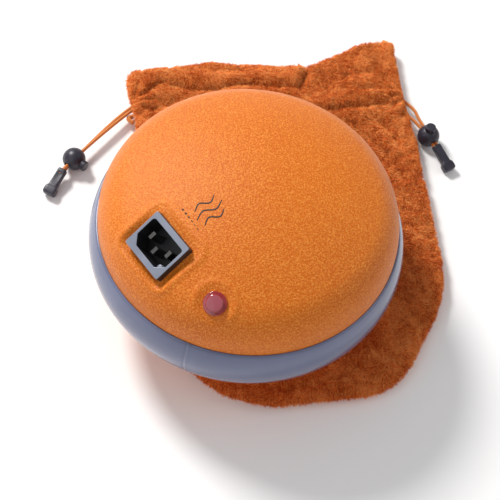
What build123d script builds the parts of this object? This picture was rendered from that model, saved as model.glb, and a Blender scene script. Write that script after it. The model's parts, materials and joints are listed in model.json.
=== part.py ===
from build123d import *
import math
import os

# Electric hand warmer: a heat-storing disc in two domed covers, lying on its plush drawstring pouch.
# Millimetres and degrees. +Z is up, the origin is on the table below the disc's axis, and -Y is the front.

os.makedirs("parts", exist_ok=True)

# ---- covers and rim ----
cover_diameter = 164.6
cover_wall = 1.6             # pressed sheet with its bonded vinyl
top_wall_height = 15.2       # upright part of the top cover, above the joint
top_shoulder_radius = 26.0
crown_radius = 156.0
base_depth = 41.5            # joint to standing face
base_wall_margin = 0.9       # upright base wall below the band
base_knee_radius = 3.0
base_foot_inset = 15.5       # foot of the base's cone, in from the covers' side
base_foot_radius = 10.0
gasket_thickness = 1.0
flange_width = 1.9
clamp_wall = 0.8
clamp_clearance = 0.1
band_bulge = 5.2
band_above = 12.6            # from the joint to the band's edges
band_below = 18.0
band_lip = 0.9
band_wall = 1.4
band_grip = 3.1              # height of the lip that hugs each cover

# ---- mains inlet ----
inlet_inset = 21.6           # inlet centre in from the covers' side
inlet_azimuth = -136.3
inlet_extra_tilt = 6.5
inlet_flange = (28.1, 23.4)
inlet_flange_corner = 0.6
inlet_housing_wall = 1.25
inlet_cavity = (24.5, 16.5)
inlet_cavity_depth = 15.5
inlet_chamfer = 4.4
inlet_back_wall = 2.5
inlet_proud = 2.4
inlet_pocket_depth = 2.7
inlet_pocket_margin = 3.0
inlet_pocket_corner = 4.0
inlet_clip_thickness = 1.0
inlet_clip_width = 1.5
pin_width = 2.0
pin_height = 4.0
pin_recess = 2.5
pin_spacing = 14.0
pin_line_offset = 1.0
earth_offset = -3.0
tab_width = 4.8
tab_thickness = 0.8
tab_drop = 1.3
tab_reach = 12.0
key_rib = 1.4

# ---- pilot lamp ----
lamp_inset = 12.9
lamp_azimuth = -99.3
lamp_pocket_radius = 7.2
lamp_pocket_depth = 1.0
lens_flange_radius = 6.2
lens_flange_thickness = 1.4
lens_button_radius = 4.6
lens_button_height = 1.6
lens_stem_radius = 4.7
lens_stem_length = 14.0
lens_bore_radius = 3.8
lens_roof = 1.0
bulb_radius = 2.6
bulb_length = 9.0
bulb_plug_length = 3.0
retainer_radius = 7.0
retainer_thickness = 1.2
lead_diameter = 1.2
lead_spacing = 3.2
resistor_radius = 1.6

# ---- heat store ----
store_gap = 32.3             # room round the blocks for the terminals and wires
block_height = 18.0
block_split = -8.0           # split plane, from the covers' joint
element_ring_inset = 16.0    # element's centreline in from the blocks' side
element_tube_radius = 4.0
element_leg_angles = (120.0, 160.0)
element_leg_reach = 6.0      # legs out past the blocks' side
bushing_radius = 2.5
bushing_length = 7.0
insulation_lower_inset = 10.0
insulation_upper_inset = 6.0
insulation_upper_thickness = 4.0
bracket_angles = (90.0, 210.0, 330.0)
bracket_thickness = 1.2
bracket_width = 14.0
bracket_foot = 10.0
bracket_screw_height = 9.0   # screw above the lower block's underside
screw_shank_radius = 1.6
screw_head_radius = 3.0
screw_head_height = 2.0
screw_length = 9.0
screw_clearance = 0.05

# ---- thermostat, on the upper block ----
thermostat_centre = (20.7, -7.5)
thermostat_radius = 7.5
cap_radius = 8.4
cap_height = 3.4
cap_floor = 0.6
disc_thickness = 0.3
disc_clearance = 0.4
peg_radius = 1.0
peg_swing_room = 0.35        # round the peg, which tilts with the arm
running_clearance = 0.08
chamber_floor = 5.0          # above the upper block's top
terminal_thickness = 0.6
terminal_width = 4.8
terminal_reach = 14.0
contact_radius = 1.2
contact_height = 0.3
contact_gap = 0.05
arm_hinge_offset = 5.5
arm_reach = 5.2
arm_thickness = 0.3
arm_width = 3.6
body_height = 9.0
lid_thickness = 1.2

# ---- fuse and wiring ----
fuse_centre = (-4.3, 24.6)
fuse_radius = 2.0
fuse_length = 11.0
fuse_lead_length = 6.0
fuse_lead_radius = 0.5
fuse_clip_wall = 0.8
fuse_clip_width = 5.0
wire_diameter = 2.4
wire_lead_out = 8.0          # straight stretch of a wire out of a tab
wire_stud_room = 8.0         # wire's turn outside a stud
wire_lift = 3.0              # wires over the felt and beside the blocks
lead_lead_out = 6.0
resistor_way = (14.0, 15.0)  # across from the lamp's back to the resistor
resistor_run = (4.5, 5.5, 0.0)
resistor_gap = 3.0           # over the felt
earth_screw_inset = 3.2
earth_screw_azimuth = -100.0
ring_radius = 3.2
ring_thickness = 0.8

# ---- pouch ----
pouch_length = 282.0
pouch_width = 214.0
panel_thickness = 6.2
pouch_gap = 0.6              # air between the pouch and the warmer

# ---- drawstrings and cord locks ----
string_diameter = 2.2
string_spacing = 2.3
left_exit_share = 0.38        # exits of the casing, along the pouch's side edges
right_exit_share = 0.77
left_bend_way = (-6.7, -8.6)        # left string's bend from its casing exit
left_ball_way = (-22.2, -36.8)      # left ball from that bend
right_ball_way = (17.9, -25.2)      # right ball from its casing exit
ball_radius = 7.0
ball_clearance = 0.3         # under the ball
slot_clearance = 0.3
button_radius = 3.2
button_clearance = 0.1
button_travel = 3.0
button_proud = 3.2
button_floor = 1.2
spring_wire_radius = 0.25
spring_radius = 2.2
spring_turns = 3
cord_end_size = (18.6, 8.0, 5.5)
cord_end_tilt = 12.0
cord_end_gap = 1.6
cord_end_grip = 4.0          # strings' length inside the tab
left_turn_angle = 11.0       # left tab's turn from its string
left_bights = ((0.8, -5.5), (-4.7, -9.0), (3.3, -10.5))     # from the exits
right_bights = ((7.5, -28.5), (11.3, -33.0), (9.0, -37.0))

# ---- sizes that follow ----
cover_radius = cover_diameter / 2
flange_radius = cover_radius + flange_width
shoulder_centre = cover_radius - top_shoulder_radius
crown_centre = top_wall_height - math.sqrt((crown_radius - top_shoulder_radius) ** 2 - shoulder_centre**2)
shoulder_turn = math.degrees(math.atan2(top_wall_height - crown_centre, shoulder_centre))
flange_height = gasket_thickness / 2
base_wall_height = band_below + base_wall_margin
base_lean = math.atan2(base_foot_inset, base_depth - base_wall_height)
base_floor = -base_depth + cover_wall
block_radius = cover_radius - store_gap
element_ring_radius = block_radius - element_ring_inset
element_leg_end = block_radius + element_leg_reach
insulation_lower_radius = block_radius - insulation_lower_inset
insulation_upper_radius = block_radius - insulation_upper_inset
earth_screw_radius = block_radius - earth_screw_inset
block_top = block_split + block_height
block_bottom = block_split - block_height
rim_height = 2 * panel_thickness + pouch_gap + base_depth     # the covers' joint above the table
casing_height = panel_thickness     # the strings come out between the two panels
ball_height = ball_radius + ball_clearance

up = Vector(0, 0, 1)
rim_section = Plane(origin=(0, 0, rim_height), x_dir=(1, 0, 0), z_dir=(0, -1, 0))


def save(part, name):
    part.label = name
    export_step(part, f"parts/{name}.step")


def level(height):
    """Horizontal plane at a height above the covers' joint."""
    return Plane.XY.offset(rim_height + height)


def polar(radius, azimuth, height):
    """Point at a radius, a direction and a height above the covers' joint."""
    angle = math.radians(azimuth)
    return Vector(radius * math.cos(angle), radius * math.sin(angle), rim_height + height)


def radial_plane(radius, azimuth, height):
    """Plane facing outwards at a point, with its y axis up."""
    angle = math.radians(azimuth)
    outwards = Vector(math.cos(angle), math.sin(angle), 0)
    return Plane(origin=polar(radius, azimuth, height), x_dir=up.cross(outwards), z_dir=outwards)


def dome_plane(inset, azimuth, extra_tilt=0.0):
    """Plane tangent to the dome, its x axis along the rim and its y axis inwards."""
    radius = cover_radius - inset
    tangent_radius = shoulder_centre * crown_radius / (crown_radius - top_shoulder_radius)
    centre_radius, centre_height, arc = 0.0, crown_centre, crown_radius
    if radius > tangent_radius:
        centre_radius, centre_height, arc = shoulder_centre, top_wall_height, top_shoulder_radius
    tilt = math.asin((radius - centre_radius) / arc)
    height = centre_height + arc * math.cos(tilt)
    tilt += math.radians(extra_tilt)
    angle = math.radians(azimuth)
    facing = (math.sin(tilt) * math.cos(angle), math.sin(tilt) * math.sin(angle), math.cos(tilt))
    return Plane(polar(radius, azimuth, height), x_dir=(-math.sin(angle), math.cos(angle), 0), z_dir=facing)


def corner_radii(points, share=0.45):
    """Arc radius at each inner point: the share of the shorter run, over the tangent of half the turn."""
    radii = []
    for before, here, after in zip(points, points[1:], points[2:]):
        first = here - before
        second = after - here
        half_turn = math.radians(first.get_angle(second)) / 2
        radii.append(share * min(first.length, second.length) / math.tan(half_turn))
    return radii


def tube(points, radius):
    """Sweeps a round section along straight runs joined by tangent arcs, in the part that is open."""
    with BuildLine() as route:
        if len(points) > 2:
            FilletPolyline(*points, radius=corner_radii(points))
        else:
            Line(*points)
    with BuildSketch(Plane(origin=points[0], z_dir=points[1] - points[0])) as section:
        Circle(radius)
    sweep(section.sketch, path=route.wire())


inlet_plane = dome_plane(inlet_inset, inlet_azimuth, inlet_extra_tilt)
inlet_seat = inlet_plane.offset(-inlet_pocket_depth)
inlet_face = inlet_plane.offset(inlet_proud)
inlet_flange_thickness = inlet_pocket_depth + inlet_proud
inlet_depth = inlet_cavity_depth + inlet_back_wall
inlet_housing = tuple(size + 2 * inlet_housing_wall for size in inlet_cavity)
inlet_pocket = tuple(size + 2 * inlet_pocket_margin for size in inlet_flange)
inlet_hole = tuple(size + 2 * running_clearance for size in inlet_housing)
lamp_plane = dome_plane(lamp_inset, lamp_azimuth)
lamp_seat = lamp_plane.offset(-lamp_pocket_depth)
shell_cut = 12.0             # long enough to cut through the dome from a seat


# ---- top cover ----
def dome_outline(inset, foot):
    """Half section of the dome, drawn in by an inset, down to a foot height."""
    radius = cover_radius - inset
    crown_top = crown_centre + crown_radius - inset
    with BuildLine() as outline:
        Line((0, foot), (radius, foot))
        Line((radius, foot), (radius, top_wall_height))
        CenterArc((shoulder_centre, top_wall_height), top_shoulder_radius - inset, 0, shoulder_turn)
        CenterArc((0, crown_centre), crown_radius - inset, shoulder_turn, 90 - shoulder_turn)
        Line((0, crown_top), (0, foot))
    make_face(outline.edges())


with BuildPart() as dome_space:
    with BuildSketch(rim_section):
        dome_outline(cover_wall, flange_height)
    revolve(axis=Axis.Z)
    with BuildSketch(inlet_seat.offset(-cover_wall)):
        RectangleRounded(
            inlet_pocket[0] + 2 * cover_wall,
            inlet_pocket[1] + 2 * cover_wall,
            inlet_pocket_corner + cover_wall,
        )
    extrude(amount=shell_cut, mode=Mode.SUBTRACT)
    with BuildSketch(lamp_seat.offset(-cover_wall)):
        Circle(lamp_pocket_radius + cover_wall)
    extrude(amount=shell_cut, mode=Mode.SUBTRACT)

with BuildPart() as top_cover:
    with BuildSketch(rim_section):
        dome_outline(0, flange_height)
    revolve(axis=Axis.Z)
    with BuildSketch(level(flange_height)):
        Circle(flange_radius)
    extrude(amount=cover_wall)
    add(dome_space.part, mode=Mode.SUBTRACT)
    with BuildSketch(inlet_seat):
        RectangleRounded(*inlet_pocket, inlet_pocket_corner)
    extrude(amount=shell_cut, mode=Mode.SUBTRACT)
    with BuildSketch(inlet_seat):
        Rectangle(*inlet_hole)
    extrude(amount=2 * cover_wall, both=True, mode=Mode.SUBTRACT)
    with BuildSketch(lamp_seat):
        Circle(lamp_pocket_radius)
    extrude(amount=shell_cut, mode=Mode.SUBTRACT)
    with BuildSketch(lamp_seat):
        Circle(lens_stem_radius + running_clearance)
    extrude(amount=2 * cover_wall, both=True, mode=Mode.SUBTRACT)
save(top_cover.part, "top_cover")


# ---- base cover ----
def bowl_outline(inset):
    """Half section of the base, an upright wall over a cone, drawn in by an inset."""
    radius = cover_radius - inset
    knee = (radius, inset * math.tan(base_lean / 2) - base_wall_height)
    foot_shift = base_foot_inset + inset * math.tan(math.pi / 4 - base_lean / 2)
    foot = (cover_radius - foot_shift, inset - base_depth)
    radii = (base_knee_radius - inset, base_foot_radius - inset)
    with BuildLine() as outline:
        FilletPolyline((radius, -flange_height), knee, foot, (0, inset - base_depth), radius=radii)
        Polyline((0, inset - base_depth), (0, -flange_height), (radius, -flange_height))
    make_face(outline.edges())


with BuildPart() as base_cover:
    with BuildSketch(rim_section):
        bowl_outline(0)
    revolve(axis=Axis.Z)
    with BuildSketch(level(-flange_height)):
        Circle(flange_radius)
    extrude(amount=-cover_wall)
    with BuildSketch(rim_section):
        bowl_outline(cover_wall)
    revolve(axis=Axis.Z, mode=Mode.SUBTRACT)
save(base_cover.part, "base_cover")

# ---- rim: gasket, clamp ring and band ----
with BuildPart() as rim_gasket:
    with BuildSketch(level(-flange_height)):
        Circle(flange_radius)
        Circle(cover_radius - cover_wall, mode=Mode.SUBTRACT)
    extrude(amount=gasket_thickness)
save(rim_gasket.part, "rim_gasket")

clamp_inside = flange_radius + clamp_clearance
clamp_leg = flange_height + cover_wall
with BuildPart() as clamp_ring:
    with BuildSketch(level(-clamp_leg - clamp_wall)):
        Circle(clamp_inside + clamp_wall)
        Circle(cover_radius + clamp_clearance, mode=Mode.SUBTRACT)
    extrude(amount=2 * (clamp_leg + clamp_wall))
    with BuildSketch(level(-clamp_leg)):
        Circle(clamp_inside)
        Circle(cover_radius, mode=Mode.SUBTRACT)
    extrude(amount=2 * clamp_leg, mode=Mode.SUBTRACT)
save(clamp_ring.part, "clamp_ring")

with BuildPart() as rim_band:
    with BuildSketch(rim_section):
        with BuildLine():
            lip = cover_radius + band_lip
            crest = cover_radius + band_bulge
            middle = (band_above - band_below) / 2
            hollow_top = band_above - band_grip
            hollow_foot = band_grip - band_below
            ThreePointArc((lip, band_above), (crest, middle), (lip, -band_below))
            Polyline((lip, -band_below), (cover_radius, -band_below), (cover_radius, hollow_foot))
            ThreePointArc((cover_radius, hollow_foot), (crest - band_wall, middle), (cover_radius, hollow_top))
            Polyline((cover_radius, hollow_top), (cover_radius, band_above), (lip, band_above))
        make_face()
    revolve(axis=Axis.Z)
save(rim_band.part, "rim_band")


# ---- mains inlet ----
def cavity_outline():
    """Socket outline with two cut corners on its outer long side."""
    half_length = inlet_cavity[0] / 2
    half_width = inlet_cavity[1] / 2
    with BuildLine() as outline:
        Polyline(
            (-half_length, half_width),
            (-half_length, inlet_chamfer - half_width),
            (inlet_chamfer - half_length, -half_width),
            (half_length - inlet_chamfer, -half_width),
            (half_length, inlet_chamfer - half_width),
            (half_length, half_width),
            close=True,
        )
    make_face(outline.edges())


pin_places = {
    "neutral": (-pin_spacing / 2, pin_line_offset),
    "live": (pin_spacing / 2, pin_line_offset),
    "earth": (0.0, earth_offset),
}

with BuildPart() as inlet_body:
    with BuildSketch(inlet_seat):
        RectangleRounded(*inlet_flange, inlet_flange_corner)
    extrude(amount=inlet_flange_thickness)
    with BuildSketch(inlet_seat):
        Rectangle(*inlet_housing)
    extrude(amount=inlet_flange_thickness - inlet_depth)
    with BuildSketch(inlet_face):
        cavity_outline()
    extrude(amount=-inlet_cavity_depth, mode=Mode.SUBTRACT)
    with BuildSketch(inlet_face):
        with Locations(((inlet_cavity[0] - inlet_chamfer) / 2, (inlet_chamfer - inlet_cavity[1]) / 2)):
            Circle(key_rib)
    extrude(amount=-inlet_cavity_depth)
    with BuildSketch(inlet_face):
        with Locations(*pin_places.values()):
            Rectangle(pin_width, pin_height)
    extrude(amount=-inlet_depth - tab_drop, mode=Mode.SUBTRACT)
save(inlet_body.part, "inlet_body")

for pin_name, (pin_x, pin_y) in pin_places.items():
    inwards = -1 if pin_name == "earth" else 1
    with BuildPart() as inlet_pin:
        with BuildSketch(inlet_face.offset(-pin_recess)):
            with Locations((pin_x, pin_y)):
                Rectangle(pin_width, pin_height)
        extrude(amount=pin_recess - inlet_depth - tab_drop - tab_thickness)
        with BuildSketch(inlet_face.offset(-inlet_depth - tab_drop)):
            near = pin_y - inwards * pin_height / 2
            with Locations((pin_x, (near + inwards * tab_reach) / 2)):
                Rectangle(tab_width, abs(inwards * tab_reach - near))
        extrude(amount=-tab_thickness)
    save(inlet_pin.part, f"inlet_pin_{pin_name}")

with BuildPart() as inlet_clip:
    with BuildSketch(inlet_seat.offset(-cover_wall)):
        Rectangle(inlet_hole[0] + 2 * inlet_clip_width, inlet_hole[1] + 2 * inlet_clip_width)
        Rectangle(*inlet_hole, mode=Mode.SUBTRACT)
    extrude(amount=-inlet_clip_thickness)
save(inlet_clip.part, "inlet_clip")

# ---- pilot lamp ----
with BuildPart() as lamp_lens:
    with BuildSketch(lamp_seat):
        Circle(lens_flange_radius)
    extrude(amount=lens_flange_thickness)
    with BuildSketch(lamp_seat.offset(lens_flange_thickness)):
        Circle(lens_button_radius)
    extrude(amount=lens_button_height)
    button_face = lamp_lens.faces().sort_by(Axis(lamp_seat.origin, lamp_seat.z_dir))[-1]
    fillet(button_face.edges(), lens_button_height / 3)
    with BuildSketch(lamp_seat):
        Circle(lens_stem_radius)
    extrude(amount=-lens_stem_length)
    with BuildSketch(lamp_seat.offset(-lens_stem_length)):
        Circle(lens_bore_radius)
    extrude(amount=lens_stem_length + lens_flange_thickness - lens_roof, mode=Mode.SUBTRACT)
save(lamp_lens.part, "lamp_lens")

lamp_back = lamp_seat.offset(-lens_stem_length)
with BuildPart() as lamp_bulb:
    with BuildSketch(lamp_back):
        Circle(lens_bore_radius - running_clearance)
    extrude(amount=bulb_plug_length)
    with BuildSketch(lamp_back.offset(bulb_plug_length)):
        Circle(bulb_radius)
    extrude(amount=bulb_length)
    fillet(lamp_bulb.faces().sort_by(Axis(lamp_seat.origin, lamp_seat.z_dir))[-1].edges(), bulb_radius / 2)
save(lamp_bulb.part, "lamp_bulb")

with BuildPart() as lamp_retainer:
    with BuildSketch(lamp_seat.offset(-cover_wall)):
        Circle(retainer_radius)
        Circle(lens_stem_radius + running_clearance, mode=Mode.SUBTRACT)
    extrude(amount=-retainer_thickness)
save(lamp_retainer.part, "lamp_retainer")


# ---- heat store ----
def element_shape(radius, mode):
    """Ring with two radial legs, added to or cut from the part that is open."""
    live_angle, neutral_angle = element_leg_angles
    with BuildLine(level(block_split)) as ring:
        CenterArc((0, 0), element_ring_radius, neutral_angle, 360 - neutral_angle + live_angle)
    with BuildSketch(Plane(origin=ring.line @ 0, z_dir=ring.line % 0)) as section:
        Circle(radius)
    sweep(section.sketch, path=ring.wire(), mode=mode)
    for angle in element_leg_angles:
        with BuildSketch(radial_plane(element_ring_radius, angle, block_split)) as section:
            Circle(radius)
        extrude(section.sketch, amount=element_leg_end - element_ring_radius, mode=mode)
        with Locations(polar(element_ring_radius, angle, block_split)):
            Sphere(radius, mode=mode)


for block_name, block_base in (("storage_block_lower", block_bottom), ("storage_block_upper", block_split)):
    with BuildPart() as storage_block:
        with BuildSketch(level(block_base)):
            Circle(block_radius)
        extrude(amount=block_height)
        element_shape(element_tube_radius + running_clearance, Mode.SUBTRACT)
        if block_name == "storage_block_lower":
            for angle in bracket_angles:
                with BuildSketch(radial_plane(block_radius, angle, block_bottom + bracket_screw_height)):
                    Circle(screw_shank_radius + screw_clearance)
                extrude(amount=-screw_length, mode=Mode.SUBTRACT)
        else:
            with BuildSketch(level(block_top)):
                with Locations(polar(earth_screw_radius, earth_screw_azimuth, block_top)):
                    Circle(screw_shank_radius + screw_clearance)
            extrude(amount=-screw_length, mode=Mode.SUBTRACT)
    save(storage_block.part, block_name)

with BuildPart() as heating_element:
    element_shape(element_tube_radius, Mode.ADD)
save(heating_element.part, "heating_element")

with BuildPart() as element_terminals:
    for angle in element_leg_angles:
        with BuildSketch(radial_plane(element_leg_end, angle, block_split)):
            Circle(bushing_radius)
        extrude(amount=bushing_length)
save(element_terminals.part, "element_terminals")

with BuildPart() as insulation_lower:
    with BuildSketch(level(base_floor)):
        Circle(insulation_lower_radius)
    extrude(amount=block_bottom - base_floor)
save(insulation_lower.part, "insulation_lower")

with BuildPart() as insulation_upper:
    with BuildSketch(level(block_top)):
        Circle(insulation_upper_radius)
        with Locations(thermostat_centre):
            Circle(cap_radius + disc_clearance, mode=Mode.SUBTRACT)
        with Locations(polar(earth_screw_radius, earth_screw_azimuth, block_top)):
            Circle(ring_radius + disc_clearance, mode=Mode.SUBTRACT)
    extrude(amount=insulation_upper_thickness)
save(insulation_upper.part, "insulation_upper")

with BuildPart() as core_brackets:
    for angle in bracket_angles:
        leg_height = block_bottom + bracket_screw_height + screw_head_radius + bracket_thickness - base_floor
        leg_plane = radial_plane(block_radius + screw_clearance, angle, base_floor)
        with BuildSketch(leg_plane):
            with Locations((0, leg_height / 2)):
                Rectangle(bracket_width, leg_height)
        extrude(amount=bracket_thickness)
        with BuildSketch(leg_plane):
            with Locations((0, bracket_thickness / 2)):
                Rectangle(bracket_width, bracket_thickness)
        extrude(amount=insulation_lower_radius - block_radius + disc_clearance)
        with BuildSketch(radial_plane(block_radius, angle, block_bottom + bracket_screw_height)):
            Circle(screw_shank_radius + screw_clearance)
        extrude(amount=2 * bracket_thickness, mode=Mode.SUBTRACT)
save(core_brackets.part, "core_brackets")

with BuildPart() as bracket_screws:
    for angle in bracket_angles:
        head_radius = block_radius + screw_clearance + bracket_thickness
        head_plane = radial_plane(head_radius, angle, block_bottom + bracket_screw_height)
        with BuildSketch(head_plane):
            Circle(screw_head_radius)
        extrude(amount=screw_head_height)
        with BuildSketch(head_plane):
            Circle(screw_shank_radius)
        extrude(amount=-screw_length)
        with BuildSketch(head_plane.offset(screw_head_height)):
            Rectangle(screw_head_radius * 1.4, screw_head_radius / 4)
        extrude(amount=-screw_head_height / 2, mode=Mode.SUBTRACT)
save(bracket_screws.part, "bracket_screws")

ring_centre = polar(earth_screw_radius, earth_screw_azimuth, block_top)
with BuildPart() as earth_screw:
    with BuildSketch(level(block_top + ring_thickness)):
        with Locations(ring_centre):
            Circle(ring_radius - ring_thickness)
    extrude(amount=screw_head_height)
    with BuildSketch(level(block_top + ring_thickness)):
        with Locations(ring_centre):
            Circle(screw_shank_radius)
    extrude(amount=-ring_thickness - screw_length / 2)
save(earth_screw.part, "earth_screw")


# ---- thermostat ----
def thermostat_level(height):
    """Horizontal plane over the thermostat's centre, at a height above the upper block."""
    return Plane(origin=(*thermostat_centre, rim_height + block_top + height))


terminal_top = chamber_floor + terminal_thickness
arm_height = terminal_top + 2 * contact_height + contact_gap
peg_foot = cap_floor + disc_clearance + disc_thickness + contact_gap

with BuildPart() as thermostat_cap:
    with BuildSketch(thermostat_level(0)):
        Circle(cap_radius)
    extrude(amount=cap_height)
    with BuildSketch(thermostat_level(cap_floor)):
        Circle(thermostat_radius + running_clearance)
    extrude(amount=cap_height, mode=Mode.SUBTRACT)
save(thermostat_cap.part, "thermostat_cap")

with BuildPart() as thermostat_disc:
    with BuildSketch(thermostat_level(cap_floor + disc_clearance)):
        Circle(thermostat_radius - disc_clearance)
    extrude(amount=disc_thickness)
save(thermostat_disc.part, "thermostat_disc")

body_foot = peg_foot + disc_thickness
with BuildPart() as thermostat_body:
    with BuildSketch(thermostat_level(body_foot)):
        Circle(thermostat_radius)
    extrude(amount=body_height - body_foot)
    with BuildSketch(thermostat_level(chamber_floor)):
        Rectangle(2 * (arm_hinge_offset + contact_radius), terminal_width)
    extrude(amount=body_height, mode=Mode.SUBTRACT)
    with BuildSketch(thermostat_level(chamber_floor)):
        Rectangle(2 * terminal_reach, terminal_width)
    extrude(amount=terminal_thickness, mode=Mode.SUBTRACT)
    with BuildSketch(thermostat_level(0)):
        Circle(peg_radius + peg_swing_room)
    extrude(amount=body_height, mode=Mode.SUBTRACT)
save(thermostat_body.part, "thermostat_body")

# The ceramic peg hangs from the arm, a hair above the bimetal disc that snaps up against it.
with BuildPart() as thermostat_peg:
    with BuildSketch(thermostat_level(peg_foot)):
        Circle(peg_radius)
    extrude(amount=arm_height - peg_foot)
save(thermostat_peg.part, "thermostat_peg")

fixed_end = arm_reach - contact_radius
peg_room = peg_radius + disc_clearance
with BuildPart() as thermostat_terminals:
    with BuildSketch(thermostat_level(chamber_floor)):
        with Locations((-(terminal_reach + peg_room) / 2, 0), ((terminal_reach + peg_room) / 2, 0)):
            Rectangle(terminal_reach - peg_room, terminal_width)
    extrude(amount=terminal_thickness)
    with BuildSketch(thermostat_level(terminal_top)):
        with Locations((-arm_hinge_offset, 0), (fixed_end, 0)):
            Circle(contact_radius)
    extrude(amount=contact_height)
save(thermostat_terminals.part, "thermostat_terminals")

with BuildPart() as thermostat_arm:
    with BuildSketch(thermostat_level(arm_height)):
        with Locations(((arm_reach - arm_hinge_offset - disc_clearance) / 2, 0)):
            Rectangle(arm_reach + arm_hinge_offset + disc_clearance, arm_width)
    extrude(amount=arm_thickness)
    with BuildSketch(thermostat_level(arm_height)):
        with Locations((fixed_end, 0)):
            Circle(contact_radius)
    extrude(amount=-contact_height)
save(thermostat_arm.part, "thermostat_arm")

with BuildPart() as thermostat_lid:
    with BuildSketch(thermostat_level(body_height)):
        Circle(thermostat_radius)
    extrude(amount=lid_thickness)
save(thermostat_lid.part, "thermostat_lid")

# ---- thermal fuse ----
felt_top = block_top + insulation_upper_thickness
fuse_height = felt_top + fuse_clip_wall + fuse_radius + running_clearance
fuse_plane = Plane(origin=(*fuse_centre, rim_height + fuse_height), x_dir=(0, 1, 0), z_dir=(1, 0, 0))
fuse_half = fuse_length / 2 + fuse_lead_length
with BuildPart() as thermal_fuse:
    with BuildSketch(fuse_plane):
        Circle(fuse_radius)
    extrude(amount=fuse_length / 2, both=True)
    with BuildSketch(fuse_plane):
        Circle(fuse_lead_radius)
    extrude(amount=fuse_half, both=True)
save(thermal_fuse.part, "thermal_fuse")

with BuildPart() as fuse_clip:
    saddle_radius = fuse_radius + running_clearance
    with BuildSketch(fuse_plane):
        Circle(saddle_radius + fuse_clip_wall)
        with Locations((0, -(saddle_radius + fuse_clip_wall) / 2)):
            Rectangle(2 * (saddle_radius + 3 * fuse_clip_wall), saddle_radius + fuse_clip_wall)
        Circle(saddle_radius, mode=Mode.SUBTRACT)
    extrude(amount=fuse_clip_width / 2, both=True)
save(fuse_clip.part, "fuse_clip")


# ---- wiring ----
def tab_end(name):
    """Centre of the end face of an inlet pin's tab, and the way the tab points."""
    inwards = -1 if name == "earth" else 1
    local = Vector(pin_places[name][0], inwards * tab_reach, -inlet_depth - tab_drop - tab_thickness / 2)
    return inlet_face.from_local_coords(local), inlet_face.y_dir * inwards


def thermostat_end(side):
    """End face of a thermostat terminal, on its minus or plus X side."""
    middle = thermostat_level(chamber_floor + terminal_thickness / 2)
    return middle.from_local_coords((side * terminal_reach, 0, 0))


def fuse_end(side):
    return Vector(fuse_centre[0] + side * fuse_half, fuse_centre[1], rim_height + fuse_height)


def stud_end(angle):
    return polar(element_leg_end + bushing_length, angle, block_split)


def wire_in(angle):
    """The last two points of a wire that comes down beside the blocks to a stud."""
    outside = element_leg_end + bushing_length + wire_stud_room
    return [polar(outside, angle, block_top - wire_lift), polar(outside, angle, block_split), stud_end(angle)]


wire_radius = wire_diameter / 2
live_start, live_way = tab_end("live")
terminal_in = thermostat_end(-1)
live_points = [
    live_start,
    live_start + live_way * wire_lead_out,
    terminal_in + Vector(-16, -11, 11),
    terminal_in + Vector(-9, 0, 0),
    terminal_in,
]
with BuildPart() as live_wire:
    tube(live_points, wire_radius)
save(live_wire.part, "live_wire")

terminal_out = thermostat_end(1)
fuse_in = fuse_end(1)
link_points = [
    terminal_out,
    terminal_out + Vector(9, 0, 0),
    Vector(terminal_out.X + 6, fuse_in.Y - 8, terminal_out.Z + 2),
    fuse_in + Vector(16, 0, 0),
    fuse_in,
]
with BuildPart() as link_wire:
    tube(link_points, wire_radius)
save(link_wire.part, "link_wire")

live_leg, neutral_leg = element_leg_angles
fuse_out = fuse_end(-1)
fuse_points = [
    fuse_out,
    fuse_out + Vector(-wire_lead_out, 0, 0),
    polar(element_leg_end, live_leg + 4, felt_top + wire_lift),
    *wire_in(live_leg),
]
with BuildPart() as fuse_wire:
    tube(fuse_points, wire_radius)
save(fuse_wire.part, "fuse_wire")

neutral_start, neutral_way = tab_end("neutral")
neutral_points = [
    neutral_start,
    neutral_start + neutral_way * wire_lead_out,
    polar(block_radius - 13, neutral_leg + 14, felt_top + 12),
    polar(block_radius + 12, neutral_leg + 4, felt_top + 1),
    *wire_in(neutral_leg),
]
with BuildPart() as neutral_wire:
    tube(neutral_points, wire_radius)
save(neutral_wire.part, "neutral_wire")

earth_start, earth_way = tab_end("earth")
wire_on_ring = block_top + wire_radius + running_clearance
earth_points = [
    earth_start,
    earth_start + earth_way * lead_lead_out,
    polar(block_radius + 16, inlet_azimuth + 13, block_top + wire_lift),
    polar(block_radius + 10, earth_screw_azimuth - 12, wire_on_ring),
    polar(block_radius + 7, earth_screw_azimuth, wire_on_ring),
    polar(earth_screw_radius + ring_radius - wire_radius / 6, earth_screw_azimuth, wire_on_ring),
]
with BuildPart() as earth_wire:
    tube(earth_points, wire_radius)
    with BuildSketch(level(block_top)):
        with Locations(ring_centre):
            Circle(ring_radius)
            Circle(screw_shank_radius + screw_clearance, mode=Mode.SUBTRACT)
    extrude(amount=ring_thickness)
save(earth_wire.part, "earth_wire")

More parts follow.
